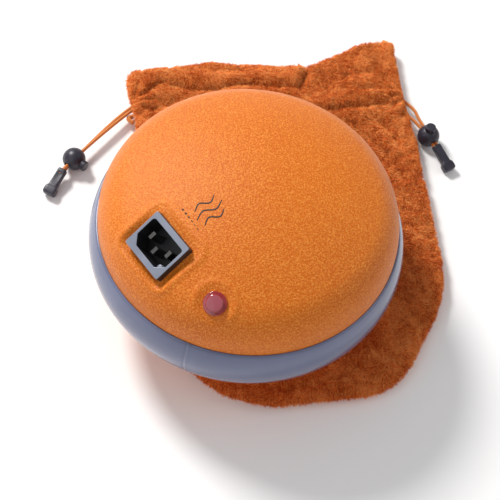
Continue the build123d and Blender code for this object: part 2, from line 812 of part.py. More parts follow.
lead_radius = lead_diameter / 2
lead_starts = [lamp_back.from_local_coords((side * lead_spacing / 2, 0, 0)) for side in (1, -1)]
lead_drop = lamp_back.z_dir * -lead_lead_out
resistor_height = rim_height + felt_top + resistor_radius + resistor_gap
resistor_start = Vector(
    lead_starts[0].X + resistor_way[0],
    lead_starts[0].Y + resistor_way[1],
    resistor_height,
)
resistor_end = resistor_start + Vector(*resistor_run)
terminal_face = terminal_out + Vector(-3, 0, terminal_thickness / 2)
above_terminal = up * lead_lead_out
tab_underside = -inlet_depth - tab_drop - tab_thickness
neutral_face = inlet_face.from_local_coords((-pin_spacing / 2, tab_reach - 1.5, tab_underside))
below_tab = inlet_face.z_dir * -7
lead_routes = [
    [lead_starts[0], lead_starts[0] + lead_drop, resistor_start],
    [
        resistor_end,
        terminal_face + above_terminal + Vector(-2, -10, 0),
        terminal_face + above_terminal,
        terminal_face,
    ],
    [
        lead_starts[1],
        lead_starts[1] + lead_drop,
        lead_starts[1] + Vector(-11, 22, -5.5),
        neutral_face + below_tab,
        neutral_face,
    ],
]
with BuildPart() as lamp_leads:
    for lead_points in lead_routes:
        tube(lead_points, lead_radius)
save(lamp_leads.part, "lamp_leads")

with BuildPart() as lamp_resistor:
    with BuildSketch(Plane(origin=resistor_start, z_dir=resistor_end - resistor_start)):
        Circle(resistor_radius)
    extrude(amount=Vector(*resistor_run).length)
save(lamp_resistor.part, "lamp_resistor")

# ---- pouch ----
# Corners as shares of the pouch's width and length, each with its own rounding. The bottom is at the front.
pouch_centre = (15.0, -84.0)
pouch_corners = [
    ((-0.02, 0.000), 55),
    ((0.37, 0.078), 42),
    ((0.502, 0.325), 90),
    ((0.386, 0.700), 60),
    ((0.326, 0.855), 30),
    ((0.293, 0.990), 5),
    ((0.205, 0.965), 9),
    ((0.050, 0.875), 12),
    ((-0.250, 0.845), 25),
    ((-0.498, 0.785), 5),
    ((-0.428, 0.640), 18),
    ((-0.455, 0.360), 60),
    ((-0.330, 0.140), 40),
]
pouch_points = [
    Vector(pouch_centre[0] + across * pouch_width, pouch_centre[1] + along * pouch_length)
    for (across, along), _ in pouch_corners
]
for panel_name, panel_foot in (("pouch_back_panel", 0.0), ("pouch_front_panel", panel_thickness)):
    with BuildPart() as pouch_panel:
        with BuildSketch(Plane.XY.offset(panel_foot)) as panel_sketch:
            with BuildLine():
                Polyline(*pouch_points, close=True)
            make_face()
            for point, (_, rounding) in zip(pouch_points, pouch_corners):
                fillet(panel_sketch.vertices().sort_by_distance(point)[0], rounding)
        extrude(amount=panel_thickness)
    save(pouch_panel.part, panel_name)


# ---- drawstrings, cord locks and cord ends ----
def ground(point, height):
    return Vector(point[0], point[1], height)


def on_edge(lower, upper, share):
    """Point of a side edge of the pouch, between two of its corners."""
    start = pouch_points[lower]
    point = start + (pouch_points[upper] - start) * share
    return point.X, point.Y


def make_lock(side, centre, along, press):
    """Ball with its button and spring: along is the string's way to the pouch, press the button's way out."""
    seat = Plane(origin=centre, x_dir=along, z_dir=press)
    string_plane = Plane(origin=centre, x_dir=seat.y_dir, z_dir=seat.x_dir)
    slot_height = string_diameter + 2 * slot_clearance
    slot_width = string_spacing + slot_height
    notch_foot = -slot_height / 2
    bore_foot = notch_foot - button_floor - button_travel - slot_clearance
    bore_radius = button_radius + button_clearance
    button_top = math.sqrt(ball_radius**2 - bore_radius**2) + button_proud
    with BuildPart() as ball:
        with Locations(seat.location):
            Sphere(ball_radius)
        with BuildSketch(seat.offset(bore_foot)):
            Circle(bore_radius)
        extrude(amount=2 * ball_radius, mode=Mode.SUBTRACT)
        with BuildSketch(string_plane):
            RectangleRounded(slot_width, slot_height, slot_height / 2.2)
        extrude(amount=2 * ball_radius, both=True, mode=Mode.SUBTRACT)
    save(ball.part, f"{side}_lock_ball")
    with BuildPart() as button:
        with BuildSketch(seat.offset(notch_foot - button_floor)):
            Circle(button_radius)
        extrude(amount=button_top - notch_foot + button_floor)
        fillet(button.edges().filter_by(GeomType.CIRCLE).sort_by(Axis(centre, press))[-1], button_radius / 6)
        with BuildSketch(string_plane):
            Rectangle(slot_width, slot_height)
        extrude(amount=2 * ball_radius, both=True, mode=Mode.SUBTRACT)
        with BuildSketch(seat.offset(notch_foot)):
            Rectangle(4 * button_radius, slot_width)
        extrude(amount=slot_height + button_travel, mode=Mode.SUBTRACT)
    save(button.part, f"{side}_lock_button")
    spring_length = button_travel + slot_clearance
    with BuildPart() as spring:
        room = spring_length - 2 * spring_wire_radius
        coil_seat = seat.offset(bore_foot + spring_wire_radius)
        coil = coil_seat.location * Helix(pitch=room / spring_turns, height=room, radius=spring_radius)
        with BuildSketch(Plane(origin=coil @ 0, z_dir=coil % 0)):
            Circle(spring_wire_radius)
        sweep(path=coil, is_frenet=True)
    save(spring.part, f"{side}_lock_spring")


def make_cord_end(side, start, direction):
    """Moulded tab over the string ends, its tip tipped down to the table."""
    length, width, thickness = cord_end_size
    with BuildPart() as cord_end:
        with BuildSketch(Plane(origin=start, x_dir=direction.cross(up), z_dir=direction)):
            RectangleRounded(width, thickness, thickness / 5)
        extrude(amount=length)
    save(cord_end.part, f"{side}_cord_end")


def tipped(direction):
    """A level direction tipped down by the cord end's tilt."""
    tilt = math.radians(cord_end_tilt)
    return direction.normalized() * math.cos(tilt) - up * math.sin(tilt)


def save_strand(name, points):
    with BuildPart() as strand:
        tube(points, string_diameter / 2)
    runs = sum((after - before).length for before, after in zip(points, points[1:]))
    print(name, "runs", round(runs, 1), "radii", [round(radius, 1) for radius in corner_radii(points)])
    save(strand.part, name)


# Left side: the two strands lie one above the other and the string is nearly straight.
left_exit = on_edge(10, 9, left_exit_share)
left_way = ground(left_ball_way, 0)
left_bend = ground(left_exit, ball_height) + ground(left_bend_way, 0)
left_centre = left_bend + left_way
left_along = left_way.normalized() * -1
left_press = left_along.cross(up)
make_lock("left", left_centre, left_along, left_press)
left_turn = left_along.rotate(Axis.Z, left_turn_angle) * -1
left_knee = left_centre - left_along * (ball_radius + cord_end_gap)
left_start = left_knee + left_turn * cord_end_gap
make_cord_end("left", left_start, tipped(left_turn))
left_offset = up * (string_spacing / 2)
for strand_name, side in (("left_string_upper", 1), ("left_string_lower", -1)):
    strand_points = [
        ground(left_exit, casing_height) + left_offset * side,
        left_bend + left_offset * side,
        left_centre + left_offset * side - left_along * (ball_radius + cord_end_gap / 2),
        left_start + tipped(left_turn) * cord_end_grip + left_offset * side,
    ]
    save_strand(strand_name, strand_points)

# Right side: the strands lie side by side and bow apart before they meet in the lock.
right_exit = on_edge(3, 4, right_exit_share)
right_way = ground(right_ball_way, 0)
right_centre = ground(right_exit, ball_height) + right_way
right_along = right_way.normalized() * -1
make_lock("right", right_centre, right_along, up)
right_start = right_centre - right_along * (ball_radius + cord_end_gap)
make_cord_end("right", right_start, tipped(right_along * -1))
right_side = right_along.cross(up)
right_bows = {"right_string_far": (1, 22.5, 4.0), "right_string_near": (-1, 20.0, 3.6)}
for strand_name, (side, bow_reach, bow) in right_bows.items():
    offset = right_side * (side * string_spacing / 2)
    strand_points = [
        ground(right_exit, casing_height) + offset,
        right_centre + right_along * bow_reach + right_side * (side * bow) - up * 0.6,
        right_centre + right_along * (ball_radius + 6.0) + offset,
        right_centre - right_along * (ball_radius + cord_end_gap / 2) + offset,
        right_start + tipped(right_along * -1) * cord_end_grip + offset,
    ]
    save_strand(strand_name, strand_points)

# The bight of each string peeps out of the casing on the other side.
for bight_name, casing_exit, bight_ways in (
    ("left_bight", left_exit, left_bights),
    ("right_bight", right_exit, right_bights),
):
    with BuildPart() as bight:
        with BuildLine() as bight_route:
            ThreePointArc(*[ground(casing_exit, panel_thickness / 2) + ground(way, 0) for way in bight_ways])
        with BuildSketch(Plane(origin=bight_route.line @ 0, z_dir=bight_route.line % 0)):
            Circle(string_diameter / 2)
        sweep(path=bight_route.wire())
    save(bight.part, bight_name)
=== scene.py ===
import json
import math
import bmesh
import bpy
import numpy as np
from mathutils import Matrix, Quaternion, Vector, noise


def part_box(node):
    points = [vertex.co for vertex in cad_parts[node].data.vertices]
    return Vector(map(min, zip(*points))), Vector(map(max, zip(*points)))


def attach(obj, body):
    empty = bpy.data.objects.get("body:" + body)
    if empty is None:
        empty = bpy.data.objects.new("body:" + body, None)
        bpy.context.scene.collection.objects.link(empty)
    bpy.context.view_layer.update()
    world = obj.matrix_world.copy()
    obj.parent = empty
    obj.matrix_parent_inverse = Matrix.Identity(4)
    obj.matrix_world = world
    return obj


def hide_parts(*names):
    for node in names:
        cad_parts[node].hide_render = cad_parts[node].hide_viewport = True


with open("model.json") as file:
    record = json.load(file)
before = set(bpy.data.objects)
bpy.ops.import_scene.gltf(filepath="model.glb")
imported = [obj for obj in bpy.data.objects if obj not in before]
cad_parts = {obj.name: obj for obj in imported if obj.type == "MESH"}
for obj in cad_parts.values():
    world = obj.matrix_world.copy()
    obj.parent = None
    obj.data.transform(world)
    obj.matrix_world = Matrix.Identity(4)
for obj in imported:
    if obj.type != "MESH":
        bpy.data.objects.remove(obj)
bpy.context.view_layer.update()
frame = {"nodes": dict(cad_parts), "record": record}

nodes = frame["nodes"]
up = Vector((0, 0, 1))


# small helpers for maths, meshes and node trees
class Wire:
    # a node socket that can stand in a sum
    def __init__(self, tree, socket):
        self.tree = tree
        self.socket = socket

    @classmethod
    def make(cls, tree, kind, settings=None, inputs=None, output=0):
        node = tree.nodes.new(kind)
        for key, value in (settings or {}).items():
            if key == "stops":
                for number, (place, colour) in enumerate(value):
                    stops = node.color_ramp.elements
                    stop = stops[number] if number < len(stops) else stops.new(place)
                    stop.position = place
                    stop.color = (*colour, 1)
            else:
                setattr(node, key, value)
        for key, value in (inputs or {}).items():
            if isinstance(value, Wire):
                tree.links.new(value.socket, node.inputs[key])
            else:
                node.inputs[key].default_value = value
        return cls(tree, node.outputs[output])

    def sum(self, operation, other, swapped=False):
        first, second = (other, self) if swapped else (self, other)
        return Wire.make(self.tree, "ShaderNodeMath", {"operation": operation}, {0: first, 1: second})

    def __add__(self, other):
        return self.sum("ADD", other)

    def __radd__(self, other):
        return self.sum("ADD", other, True)

    def __sub__(self, other):
        return self.sum("SUBTRACT", other)

    def __rsub__(self, other):
        return self.sum("SUBTRACT", other, True)

    def __mul__(self, other):
        return self.sum("MULTIPLY", other)

    def __rmul__(self, other):
        return self.sum("MULTIPLY", other, True)


def smooth(value, low, high):
    # 0 below low, 1 above high, rounded between
    share = np.clip((value - low) / (high - low), 0, 1)
    return share * share * (3 - 2 * share)


def bump(value, width):
    return np.exp(-(value / width) ** 2)


def waves(points, size, seed=0.0):
    # soft noise between about -1 and 1 at points in metres
    level = seed * 1.7
    return np.array([noise.noise(Vector((p[0] / size + seed, p[1] / size - seed, level))) for p in points])


def meshPiece(name, points, faces, material, body):
    mesh = bpy.data.meshes.new(name)
    mesh.from_pydata([tuple(p) for p in points], [], [tuple(f) for f in faces])
    mesh.validate()
    mesh.shade_smooth()
    piece = bpy.data.objects.new(name, mesh)
    bpy.context.scene.collection.objects.link(piece)
    mesh.materials.append(material)
    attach(piece, body)
    return piece


def gridFaces(rows, columns, closedRows=False, start=0):
    # quads between rows of points, each row a ring of columns
    faces = []
    for row in range(rows if closedRows else rows - 1):
        after = (row + 1) % rows
        for column in range(columns):
            right = (column + 1) % columns
            faces.append((
                start + row * columns + column,
                start + row * columns + right,
                start + after * columns + right,
                start + after * columns + column,
            ))
    return faces


def fixNormals(piece):
    shape = bmesh.new()
    shape.from_mesh(piece.data)
    bmesh.ops.remove_doubles(shape, verts=shape.verts, dist=1e-7)
    loose = [edge for edge in shape.edges if not edge.link_faces]
    bmesh.ops.delete(shape, geom=loose, context="EDGES")
    bmesh.ops.recalc_face_normals(shape, faces=shape.faces)
    shape.to_mesh(piece.data)
    shape.free()
    return piece


def turned(name, profile, origin, axis, side, steps, material, body, shift=None):
    # closed profile of (radius, height) turned about an axis
    across = axis.cross(side)
    points = []
    for radius, height in profile:
        for step in range(steps):
            angle = 2 * math.pi * step / steps
            reach = radius + (shift(angle, height) if shift else 0)
            way = side * math.cos(angle) + across * math.sin(angle)
            points.append(origin + way * reach + axis * height)
    faces = gridFaces(len(profile), steps, closedRows=True)
    return fixNormals(meshPiece(name, points, faces, material, body))


def arc(centre, radius, first, last, count):
    # points of a circular arc, from first to last degrees
    angles = np.radians(np.linspace(first, last, count))
    return [(centre[0] + radius * math.cos(a), centre[1] + radius * math.sin(a)) for a in angles]


def rounded(width, height, corner, count):
    # rounded rectangle, counterclockwise, count points to each corner
    points = []
    for number, (sideX, sideY) in enumerate(((1, -1), (1, 1), (-1, 1), (-1, -1))):
        centre = (sideX * (width / 2 - corner), sideY * (height / 2 - corner))
        points += arc(centre, corner, 90 * number - 90, 90 * number, count)
    return points


def filleted(points, radii, count):
    # open outline with an arc at each inner corner
    line = [tuple(points[0])]
    for before, here, after, radius in zip(points, points[1:], points[2:], radii):
        first = (Vector(before) - Vector(here)).normalized()
        second = (Vector(after) - Vector(here)).normalized()
        half = first.angle(second) / 2
        centre = Vector(here) + (first + second).normalized() * radius / math.sin(half)
        start = Vector(here) + first * radius / math.tan(half) - centre
        end = Vector(here) + second * radius / math.tan(half) - centre
        begin = math.degrees(math.atan2(start.y, start.x))
        turn = math.degrees(math.atan2(start.x * end.y - start.y * end.x, start.dot(end)))
        line += arc(centre, radius, begin, begin + turn, count)
    return line + [tuple(points[-1])]


# materials
def shaded(name, plain, build=None):
    # plain sets sockets by name, build(tree, coordinates) returns links by socket name
    material = bpy.data.materials.new(name)
    material.use_nodes = True
    tree = material.node_tree
    shader = tree.nodes["Principled BSDF"]
    for key, value in plain.items():
        shader.inputs[key].default_value = value
    if build:
        coordinates = Wire.make(tree, "ShaderNodeTexCoord", output=3)
        for key, wire in build(tree, coordinates).items():
            tree.links.new(wire.socket, shader.inputs[key])
    return material


def grain(tree, coordinates, scale, detail=2.0, rough=0.5, stretch=None):
    if stretch:
        coordinates = Wire.make(tree, "ShaderNodeMapping", None, {"Vector": coordinates, "Scale": stretch})
    return Wire.make(
        tree, "ShaderNodeTexNoise", None,
        {"Vector": coordinates, "Scale": scale, "Detail": detail, "Roughness": rough},
    )


def cells(tree, coordinates, scale):
    return Wire.make(tree, "ShaderNodeTexVoronoi", None, {"Vector": coordinates, "Scale": scale})


def tone(tree, factor, stops):
    return Wire.make(tree, "ShaderNodeValToRGB", {"stops": stops}, {"Fac": factor})


def mixed(tree, factor, first, second):
    return Wire.make(tree, "ShaderNodeMix", {"data_type": "RGBA"}, {0: factor, 6: first, 7: second}, 2)


def raised(tree, height, strength, distance):
    return Wire.make(
        tree, "ShaderNodeBump", None, {"Height": height, "Strength": strength, "Distance": distance}
    )


def vinylLook(tree, where):
    fine = cells(tree, where, 900)
    pebbles = grain(tree, where, 1150, 3.0, 0.6)
    drift = grain(tree, where, 14, 2.0)
    leather = fine * 0.5 + pebbles
    fleck = tone(tree, pebbles, [(0.44, (0.0, 0.0, 0.0)), (0.68, (1.0, 1.0, 1.0))])
    body = tone(tree, drift, [(0.3, (0.60, 0.122, 0.003)), (0.7, (0.67, 0.150, 0.005))])
    colour = mixed(tree, fleck * 0.75, body, (0.94, 0.35, 0.055, 1))
    gloss = pebbles * 0.3 + 0.30
    return {"Base Color": colour, "Roughness": gloss, "Normal": raised(tree, leather, 0.85, 0.00035)}


def bandLook(tree, where):
    cloud = grain(tree, where, 30, 3.0)
    specks = grain(tree, where, 700, 2.0)
    colour = tone(tree, cloud, [(0.3, (0.118, 0.134, 0.232)), (0.7, (0.148, 0.164, 0.272))])
    gloss = cloud * 0.14 + 0.16
    return {"Base Color": colour, "Roughness": gloss, "Normal": raised(tree, specks, 0.06, 0.0002)}


def plastic(name, dark, light, scale, strength, glossRange, **plain):
    low, high = glossRange

    def build(tree, where):
        fine = grain(tree, where, scale, 3.0)
        cloud = grain(tree, where, scale / 12, 2.0)
        colour = tone(tree, cloud, [(0.3, dark), (0.7, light)])
        gloss = fine * (high - low) + low
        return {"Base Color": colour, "Roughness": gloss, "Normal": raised(tree, fine, strength, 0.0002)}

    return shaded(name, plain, build)


def metal(name, dark, light, stretch=(1, 1, 14), metallic=1.0):
    def build(tree, where):
        lines = grain(tree, where, 240, 3.0, 0.6, stretch)
        cloud = grain(tree, where, 55, 2.0)
        colour = tone(tree, cloud, [(0.3, dark), (0.7, light)])
        gloss = lines * 0.3 + 0.16
        return {"Base Color": colour, "Roughness": gloss, "Normal": raised(tree, lines, 0.12, 0.0002)}

    return shaded(name, {"Metallic": metallic}, build)


def feltLook(tree, where):
    fibres = grain(tree, where, 900, 5.0, 0.7)
    cloud = grain(tree, where, 60, 3.0)
    colour = tone(tree, cloud, [(0.3, (0.50, 0.47, 0.42)), (0.7, (0.66, 0.63, 0.57))])
    return {"Base Color": colour, "Normal": raised(tree, fibres, 0.8, 0.0008)}


def plushLook(tree, where):
    streaks = grain(tree, where, 150, 4.0, 0.65)
    patches = grain(tree, where, 42, 3.0, 0.6)
    # painted sheen: the crushed pile's light and dark patches, which come from how its leaning pile meets the
    # light, painted into the cloth's colour
    paintedLightLevel = patches * 0.65 + streaks * 0.45
    colour = tone(tree, paintedLightLevel, [
        (0.36, (0.46, 0.070, 0.006)),
        (0.50, (0.70, 0.140, 0.014)),
        (0.66, (0.86, 0.240, 0.036)),
    ])
    fibres = grain(tree, where, 1300, 4.0, 0.7)
    return {"Base Color": colour, "Normal": raised(tree, fibres + streaks, 0.8, 0.001)}


braidPitch = 3000               # strand crossings, in radians for each metre of string


def cordLook(tree, where):
    place = Wire.make(tree, "ShaderNodeUVMap", {"uv_map": "braid"})
    split = Wire.make(tree, "ShaderNodeSeparateXYZ", None, {0: place})
    length = Wire(tree, split.socket.node.outputs[1])
    turns = split * (2 * math.pi * 3)
    left = (turns + length * braidPitch).sum("SINE", 0)
    right = (turns - length * braidPitch).sum("SINE", 0)
    # painted shade and highlight: the braid's colour is darker where its skin dips between strands and
    # lighter on their crowns
    strand = left * right * 0.5 + 0.5
    hairs = grain(tree, where, 1500, 3.0)
    colour = tone(tree, strand * 0.8 + hairs * 0.25, [
        (0.2, (0.24, 0.045, 0.006)),
        (0.5, (0.62, 0.16, 0.02)),
        (0.85, (0.86, 0.33, 0.07)),
    ])
    return {"Base Color": colour, "Normal": raised(tree, hairs, 0.4, 0.0003)}


def lensLook(tree, where):
    haze = grain(tree, where, 420, 3.0)
    colour = tone(tree, haze, [(0.35, (0.26, 0.006, 0.010)), (0.7, (0.38, 0.014, 0.022))])
    return {"Base Color": colour, "Roughness": haze * 0.18 + 0.06}


vinyl = shaded("orangeVinyl", {
    "Specular IOR Level": 0.26, "Sheen Weight": 0.06, "Sheen Roughness": 0.35,
    "Sheen Tint": (1.0, 0.70, 0.60, 1),
}, vinylLook)
bandVinyl = shaded("blueGreyVinyl", {"Coat Weight": 0.35, "Coat Roughness": 0.12}, bandLook)
# painted highlight: the inlet's outward face takes a grey copy of its black plastic, as if lit
inletLitFace = plastic("inletLitFace", (0.19, 0.21, 0.27), (0.24, 0.26, 0.33), 900, 0.12, (0.30, 0.48))
inletBlack = plastic("inletBlack", (0.010, 0.010, 0.012), (0.020, 0.020, 0.024), 900, 0.15, (0.28, 0.45))
nylonBlack = plastic("blackNylon", (0.016, 0.014, 0.024), (0.034, 0.031, 0.048), 800, 0.2, (0.30, 0.48))
lensRed = shaded("redLens", {"Coat Weight": 0.8, "Coat Roughness": 0.04, "IOR": 1.5}, lensLook)
# painted highlight: the lens's top face is a paler pink copy of its red, as if lit
lensLitTop = plastic(
    "redLensLitTop", (0.31, 0.045, 0.065), (0.40, 0.08, 0.105), 400, 0.05, (0.3, 0.45), **{"Coat Weight": 0.4}
)
pinNickel = metal("pinNickel", (0.10, 0.098, 0.095), (0.17, 0.165, 0.16))
inkBlack = plastic("printInk", (0.012, 0.010, 0.010), (0.03, 0.025, 0.022), 1500, 0.1, (0.45, 0.65))
plush = shaded("orangePlush", {
    "Roughness": 0.9, "Sheen Weight": 0.2, "Sheen Roughness": 0.4, "Sheen Tint": (1.0, 0.62, 0.3, 1),
}, plushLook)
cordOrange = shaded("orangeCord", {"Roughness": 0.72, "Sheen Weight": 0.2}, cordLook)
rubberBlack = plastic("gasketRubber", (0.015, 0.015, 0.016), (0.03, 0.03, 0.03), 500, 0.3, (0.6, 0.8))
zinc = metal("zincSteel", (0.52, 0.53, 0.54), (0.70, 0.71, 0.70))
brass = metal("nickelBrass", (0.62, 0.58, 0.50), (0.80, 0.77, 0.70))
iron = metal("castIron", (0.10, 0.095, 0.09), (0.19, 0.18, 0.17), (1, 1, 1), 0.85)
darkSteel = metal("elementSteel", (0.20, 0.18, 0.17), (0.34, 0.30, 0.28), (1, 1, 1))
aluminium = metal("drawnAluminium", (0.74, 0.75, 0.77), (0.88, 0.89, 0.90))
bimetal = metal("bimetal", (0.60, 0.46, 0.33), (0.74, 0.62, 0.48), (1, 1, 1))
phenolic = plastic("phenolic", (0.05, 0.026, 0.018), (0.085, 0.045, 0.03), 600, 0.3, (0.4, 0.6))
ceramic = plastic("ceramic", (0.70, 0.68, 0.62), (0.82, 0.80, 0.75), 700, 0.1, (0.3, 0.5))
wireRubber = plastic("wireRubber", (0.50, 0.50, 0.48), (0.62, 0.62, 0.60), 400, 0.15, (0.45, 0.6))
lacquer = plastic("resistorLacquer", (0.28, 0.20, 0.10), (0.40, 0.29, 0.16), 500, 0.1, (0.3, 0.45))
glass = plastic(
    "bulbGlass", (0.80, 0.78, 0.74), (0.92, 0.90, 0.86), 300, 0.02, (0.05, 0.15),
    **{"Transmission Weight": 0.6, "IOR": 1.46},
)
felt = shaded("insulationFelt", {"Roughness": 0.95}, feltLook)

finishes = {
    rubberBlack: ["rim_gasket"],
    zinc: ["clamp_ring", "inlet_clip", "lamp_retainer", "core_brackets", "bracket_screws", "fuse_clip"],
    brass: ["element_terminals", "earth_screw", "thermostat_terminals"],
    pinNickel: ["inlet_pin_live", "inlet_pin_neutral", "inlet_pin_earth"],
    glass: ["lamp_bulb"],
    lacquer: ["lamp_resistor"],
    wireRubber: ["lamp_leads", "live_wire", "link_wire", "fuse_wire", "neutral_wire", "earth_wire"],
    iron: ["storage_block_lower", "storage_block_upper"],
    darkSteel: ["heating_element"],
    felt: ["insulation_lower", "insulation_upper"],
    aluminium: ["thermostat_cap", "thermal_fuse", "left_lock_spring", "right_lock_spring"],
    bimetal: ["thermostat_disc", "thermostat_arm"],
    phenolic: ["thermostat_body", "thermostat_lid"],
    ceramic: ["thermostat_peg"],
    nylonBlack: ["left_lock_ball", "right_lock_ball", "left_lock_button", "right_lock_button"],
}
for material, names in finishes.items():
    for name in names:
        nodes[name].data.materials.clear()
        nodes[name].data.materials.append(material)
print("materials on the inner parts")

# covers and band
cover = {
    "flange": 0.0019,           # the CAD flange inside the band
    "wall": 0.0016,
    "wallHeight": 0.0152,
    "shoulder": 0.026,
    "crown": 0.156,
    "gasketHalf": 0.0005,
    "wallBelow": 0.0189,        # upright base wall below the joint
    "knee": 0.003,
    "footInset": 0.0155,
    "footRadius": 0.010,
    "swell": (0.035, 0.00012),  # size and height of the skin's slow unevenness
}
gasketLow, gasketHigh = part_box("rim_gasket")
rimHeight = (gasketLow.z + gasketHigh.z) / 2
bandLow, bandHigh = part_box("rim_band")
bandMiddle = (bandLow.z + bandHigh.z) / 2
bandHalf = (bandHigh.z - bandLow.z) / 2
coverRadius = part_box("top_cover")[1].x - cover["flange"]
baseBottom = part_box("base_cover")[0].z
shoulderCentre = coverRadius - cover["shoulder"]
crownDrop = math.sqrt((cover["crown"] - cover["shoulder"]) ** 2 - shoulderCentre ** 2)
crownCentre = cover["wallHeight"] - crownDrop
tangentRadius = shoulderCentre * cover["crown"] / (cover["crown"] - cover["shoulder"])


def domeHeight(radius):
    # height of the cover over the table at a distance from the axis
    crown = crownCentre + np.sqrt(np.maximum(cover["crown"] ** 2 - radius ** 2, 0))
    reach = np.clip(radius - shoulderCentre, 0, cover["shoulder"])
    edge = cover["wallHeight"] + np.sqrt(cover["shoulder"] ** 2 - reach ** 2)
    return rimHeight + np.where(radius < tangentRadius, crown, edge)


def skinSwell(points):
    size, height = cover["swell"]
    return waves(points, size, 3.1) * height


inletMount = next(m for m in frame["record"]["mounts"] if m["name"] == "mains_inlet")
inlet = {
    "face": Vector(inletMount["pos_m"]),
    "out": Vector(inletMount["axis"]).normalized(),
    "seat": 0.0051,             # flange thickness
    "flange": (0.0281, 0.0234),
    "corner": 0.0009,
    "pocket": (0.0341, 0.0294),
    "pocketCorner": 0.004,
    "cavity": (0.0245, 0.0165),
    "cavityDepth": 0.0155,
    "cut": 0.0044,
    "depth": 0.018,
    "wall": 0.00125,
    "rib": 0.0014,
    "bevel": 0.0004,
    "fillets": (0.0018, 0.0010, 0.0010, 0.0008, 0.0008, 0.0011),
    "steps": 180,               # rays round the outline
    "edge": 0.0022,             # softness of the pressed pocket
    "lip": (0.0007, 0.0030, 0.0018),        # height, distance and width of the ridge round the pocket
    "opening": (0.0004, 0.0012),            # air round the cavity in the cover
}
inlet["right"] = up.cross(inlet["out"]).normalized()
inlet["inwards"] = inlet["out"].cross(inlet["right"])
lamp = {
    "inset": 0.0129, "azimuth": -99.3, "seat": 0.001, "flange": 0.0062, "dimple": 0.0102,
    "lip": (0.0004, 0.001, 0.0016), "opening": 0.0052,
}
lampRadius = coverRadius - lamp["inset"]
lampTilt = math.asin((lampRadius - shoulderCentre) / cover["shoulder"])
lampAngle = math.radians(lamp["azimuth"])
outwards = Vector((math.cos(lampAngle), math.sin(lampAngle), 0))
lamp["out"] = outwards * math.sin(lampTilt) + up * math.cos(lampTilt)
lamp["right"] = up.cross(outwards)
lamp["inwards"] = lamp["out"].cross(lamp["right"])
lamp["top"] = outwards * lampRadius + up * float(domeHeight(np.array(lampRadius)))
lamp["face"] = lamp["top"] - lamp["out"] * lamp["seat"]


def local(points, place):
    offsets = np.asarray(points) - np.array(place["face"])
    return [offsets @ np.array(place[key]) for key in ("right", "inwards", "out")]


def makeDome():
    shape = {"rings": (26, 84), "wallRings": 12, "first": 0.0008, "fineFrom": 0.045, "steps": (210, 160)}
    radii = np.concatenate([
        np.linspace(shape["first"], shape["fineFrom"], shape["rings"][0], endpoint=False),
        np.linspace(shape["fineFrom"], coverRadius, shape["rings"][1]),
    ])
    # finer between the inlet and the lamp
    angles = np.radians(np.concatenate([
        np.linspace(-178, -78, shape["steps"][0], endpoint=False),
        np.linspace(-78, 182, shape["steps"][1], endpoint=False),
    ]))
    count = len(angles)
    rows = []
    for radius in radii:
        height = float(domeHeight(np.array(radius)))
        rows.append(np.stack([radius * np.cos(angles), radius * np.sin(angles), np.full(count, height)], 1))
    wallTop, wallFoot = rimHeight + cover["wallHeight"], rimHeight + cover["gasketHalf"]
    for height in np.linspace(wallTop, wallFoot, shape["wallRings"])[1:]:
        rows.append(np.stack([
            coverRadius * np.cos(angles), coverRadius * np.sin(angles), np.full(count, height)
        ], 1))
    points = np.concatenate(rows)
    # pressed seat round the inlet, with a soft raised edge
    right, inwards, out = local(points, inlet)
    halfX, halfY = inlet["pocket"][0] / 2, inlet["pocket"][1] / 2
    overX = np.maximum(np.abs(right) - halfX + inlet["pocketCorner"], 0)
    overY = np.maximum(np.abs(inwards) - halfY + inlet["pocketCorner"], 0)
    inside = np.minimum(np.maximum(np.abs(right) - halfX, np.abs(inwards) - halfY) + inlet["pocketCorner"], 0)
    edge = np.hypot(overX, overY) + inside - inlet["pocketCorner"]
    share = smooth(edge, -inlet["edge"], inlet["edge"])
    lip, lipAway, lipWidth = inlet["lip"]
    target = (1 - share) * -inlet["seat"] + share * out + lip * bump(edge - lipAway, lipWidth)
    near = (edge < 0.012) & (out > -0.02)
    points = points + np.outer(np.where(near, target - out, 0), np.array(inlet["out"]))
    # cone round the lamp
    right, inwards, out = local(points, lamp)
    reach = np.hypot(right, inwards)
    share = smooth(reach, lamp["flange"] + 0.0001, lamp["dimple"])
    lip, lipAway, lipWidth = lamp["lip"]
    target = share * out + lip * bump(reach - lamp["dimple"] - lipAway, lipWidth)
    near = (reach < 0.014) & (out > -0.02)
    points = points + np.outer(np.where(near, target - out, 0), np.array(lamp["out"]))
    points[:, 2] += skinSwell(points)
    faces = gridFaces(len(rows), count)
    centre = len(points)
    points = np.vstack([points, [0, 0, float(domeHeight(np.array(0.0)))]])
    faces += [(centre, (step + 1) % count, step) for step in range(count)]
    middles = np.array([points[list(face)].mean(0) for face in faces])
    inletRight, inletIn = local(middles, inlet)[:2]
    lampRight, lampIn = local(middles, lamp)[:2]
    inletOpen = np.abs(inletRight) < inlet["cavity"][0] / 2 + inlet["opening"][0]
    inletOpen &= np.abs(inletIn) < inlet["cavity"][1] / 2 + inlet["opening"][1]
    lampOpen = np.hypot(lampRight, lampIn) < lamp["opening"]
    keep = ~((inletOpen | lampOpen) & (middles[:, 2] > rimHeight + 0.02))
    faces = [face for face, kept in zip(faces, keep) if kept]
    piece = fixNormals(meshPiece("top_cover_skin", points, faces, vinyl, "warmer"))
    wall = piece.modifiers.new("wall", "SOLIDIFY")
    wall.thickness = cover["wall"]
    wall.offset = -1
    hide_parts("top_cover")
    return piece


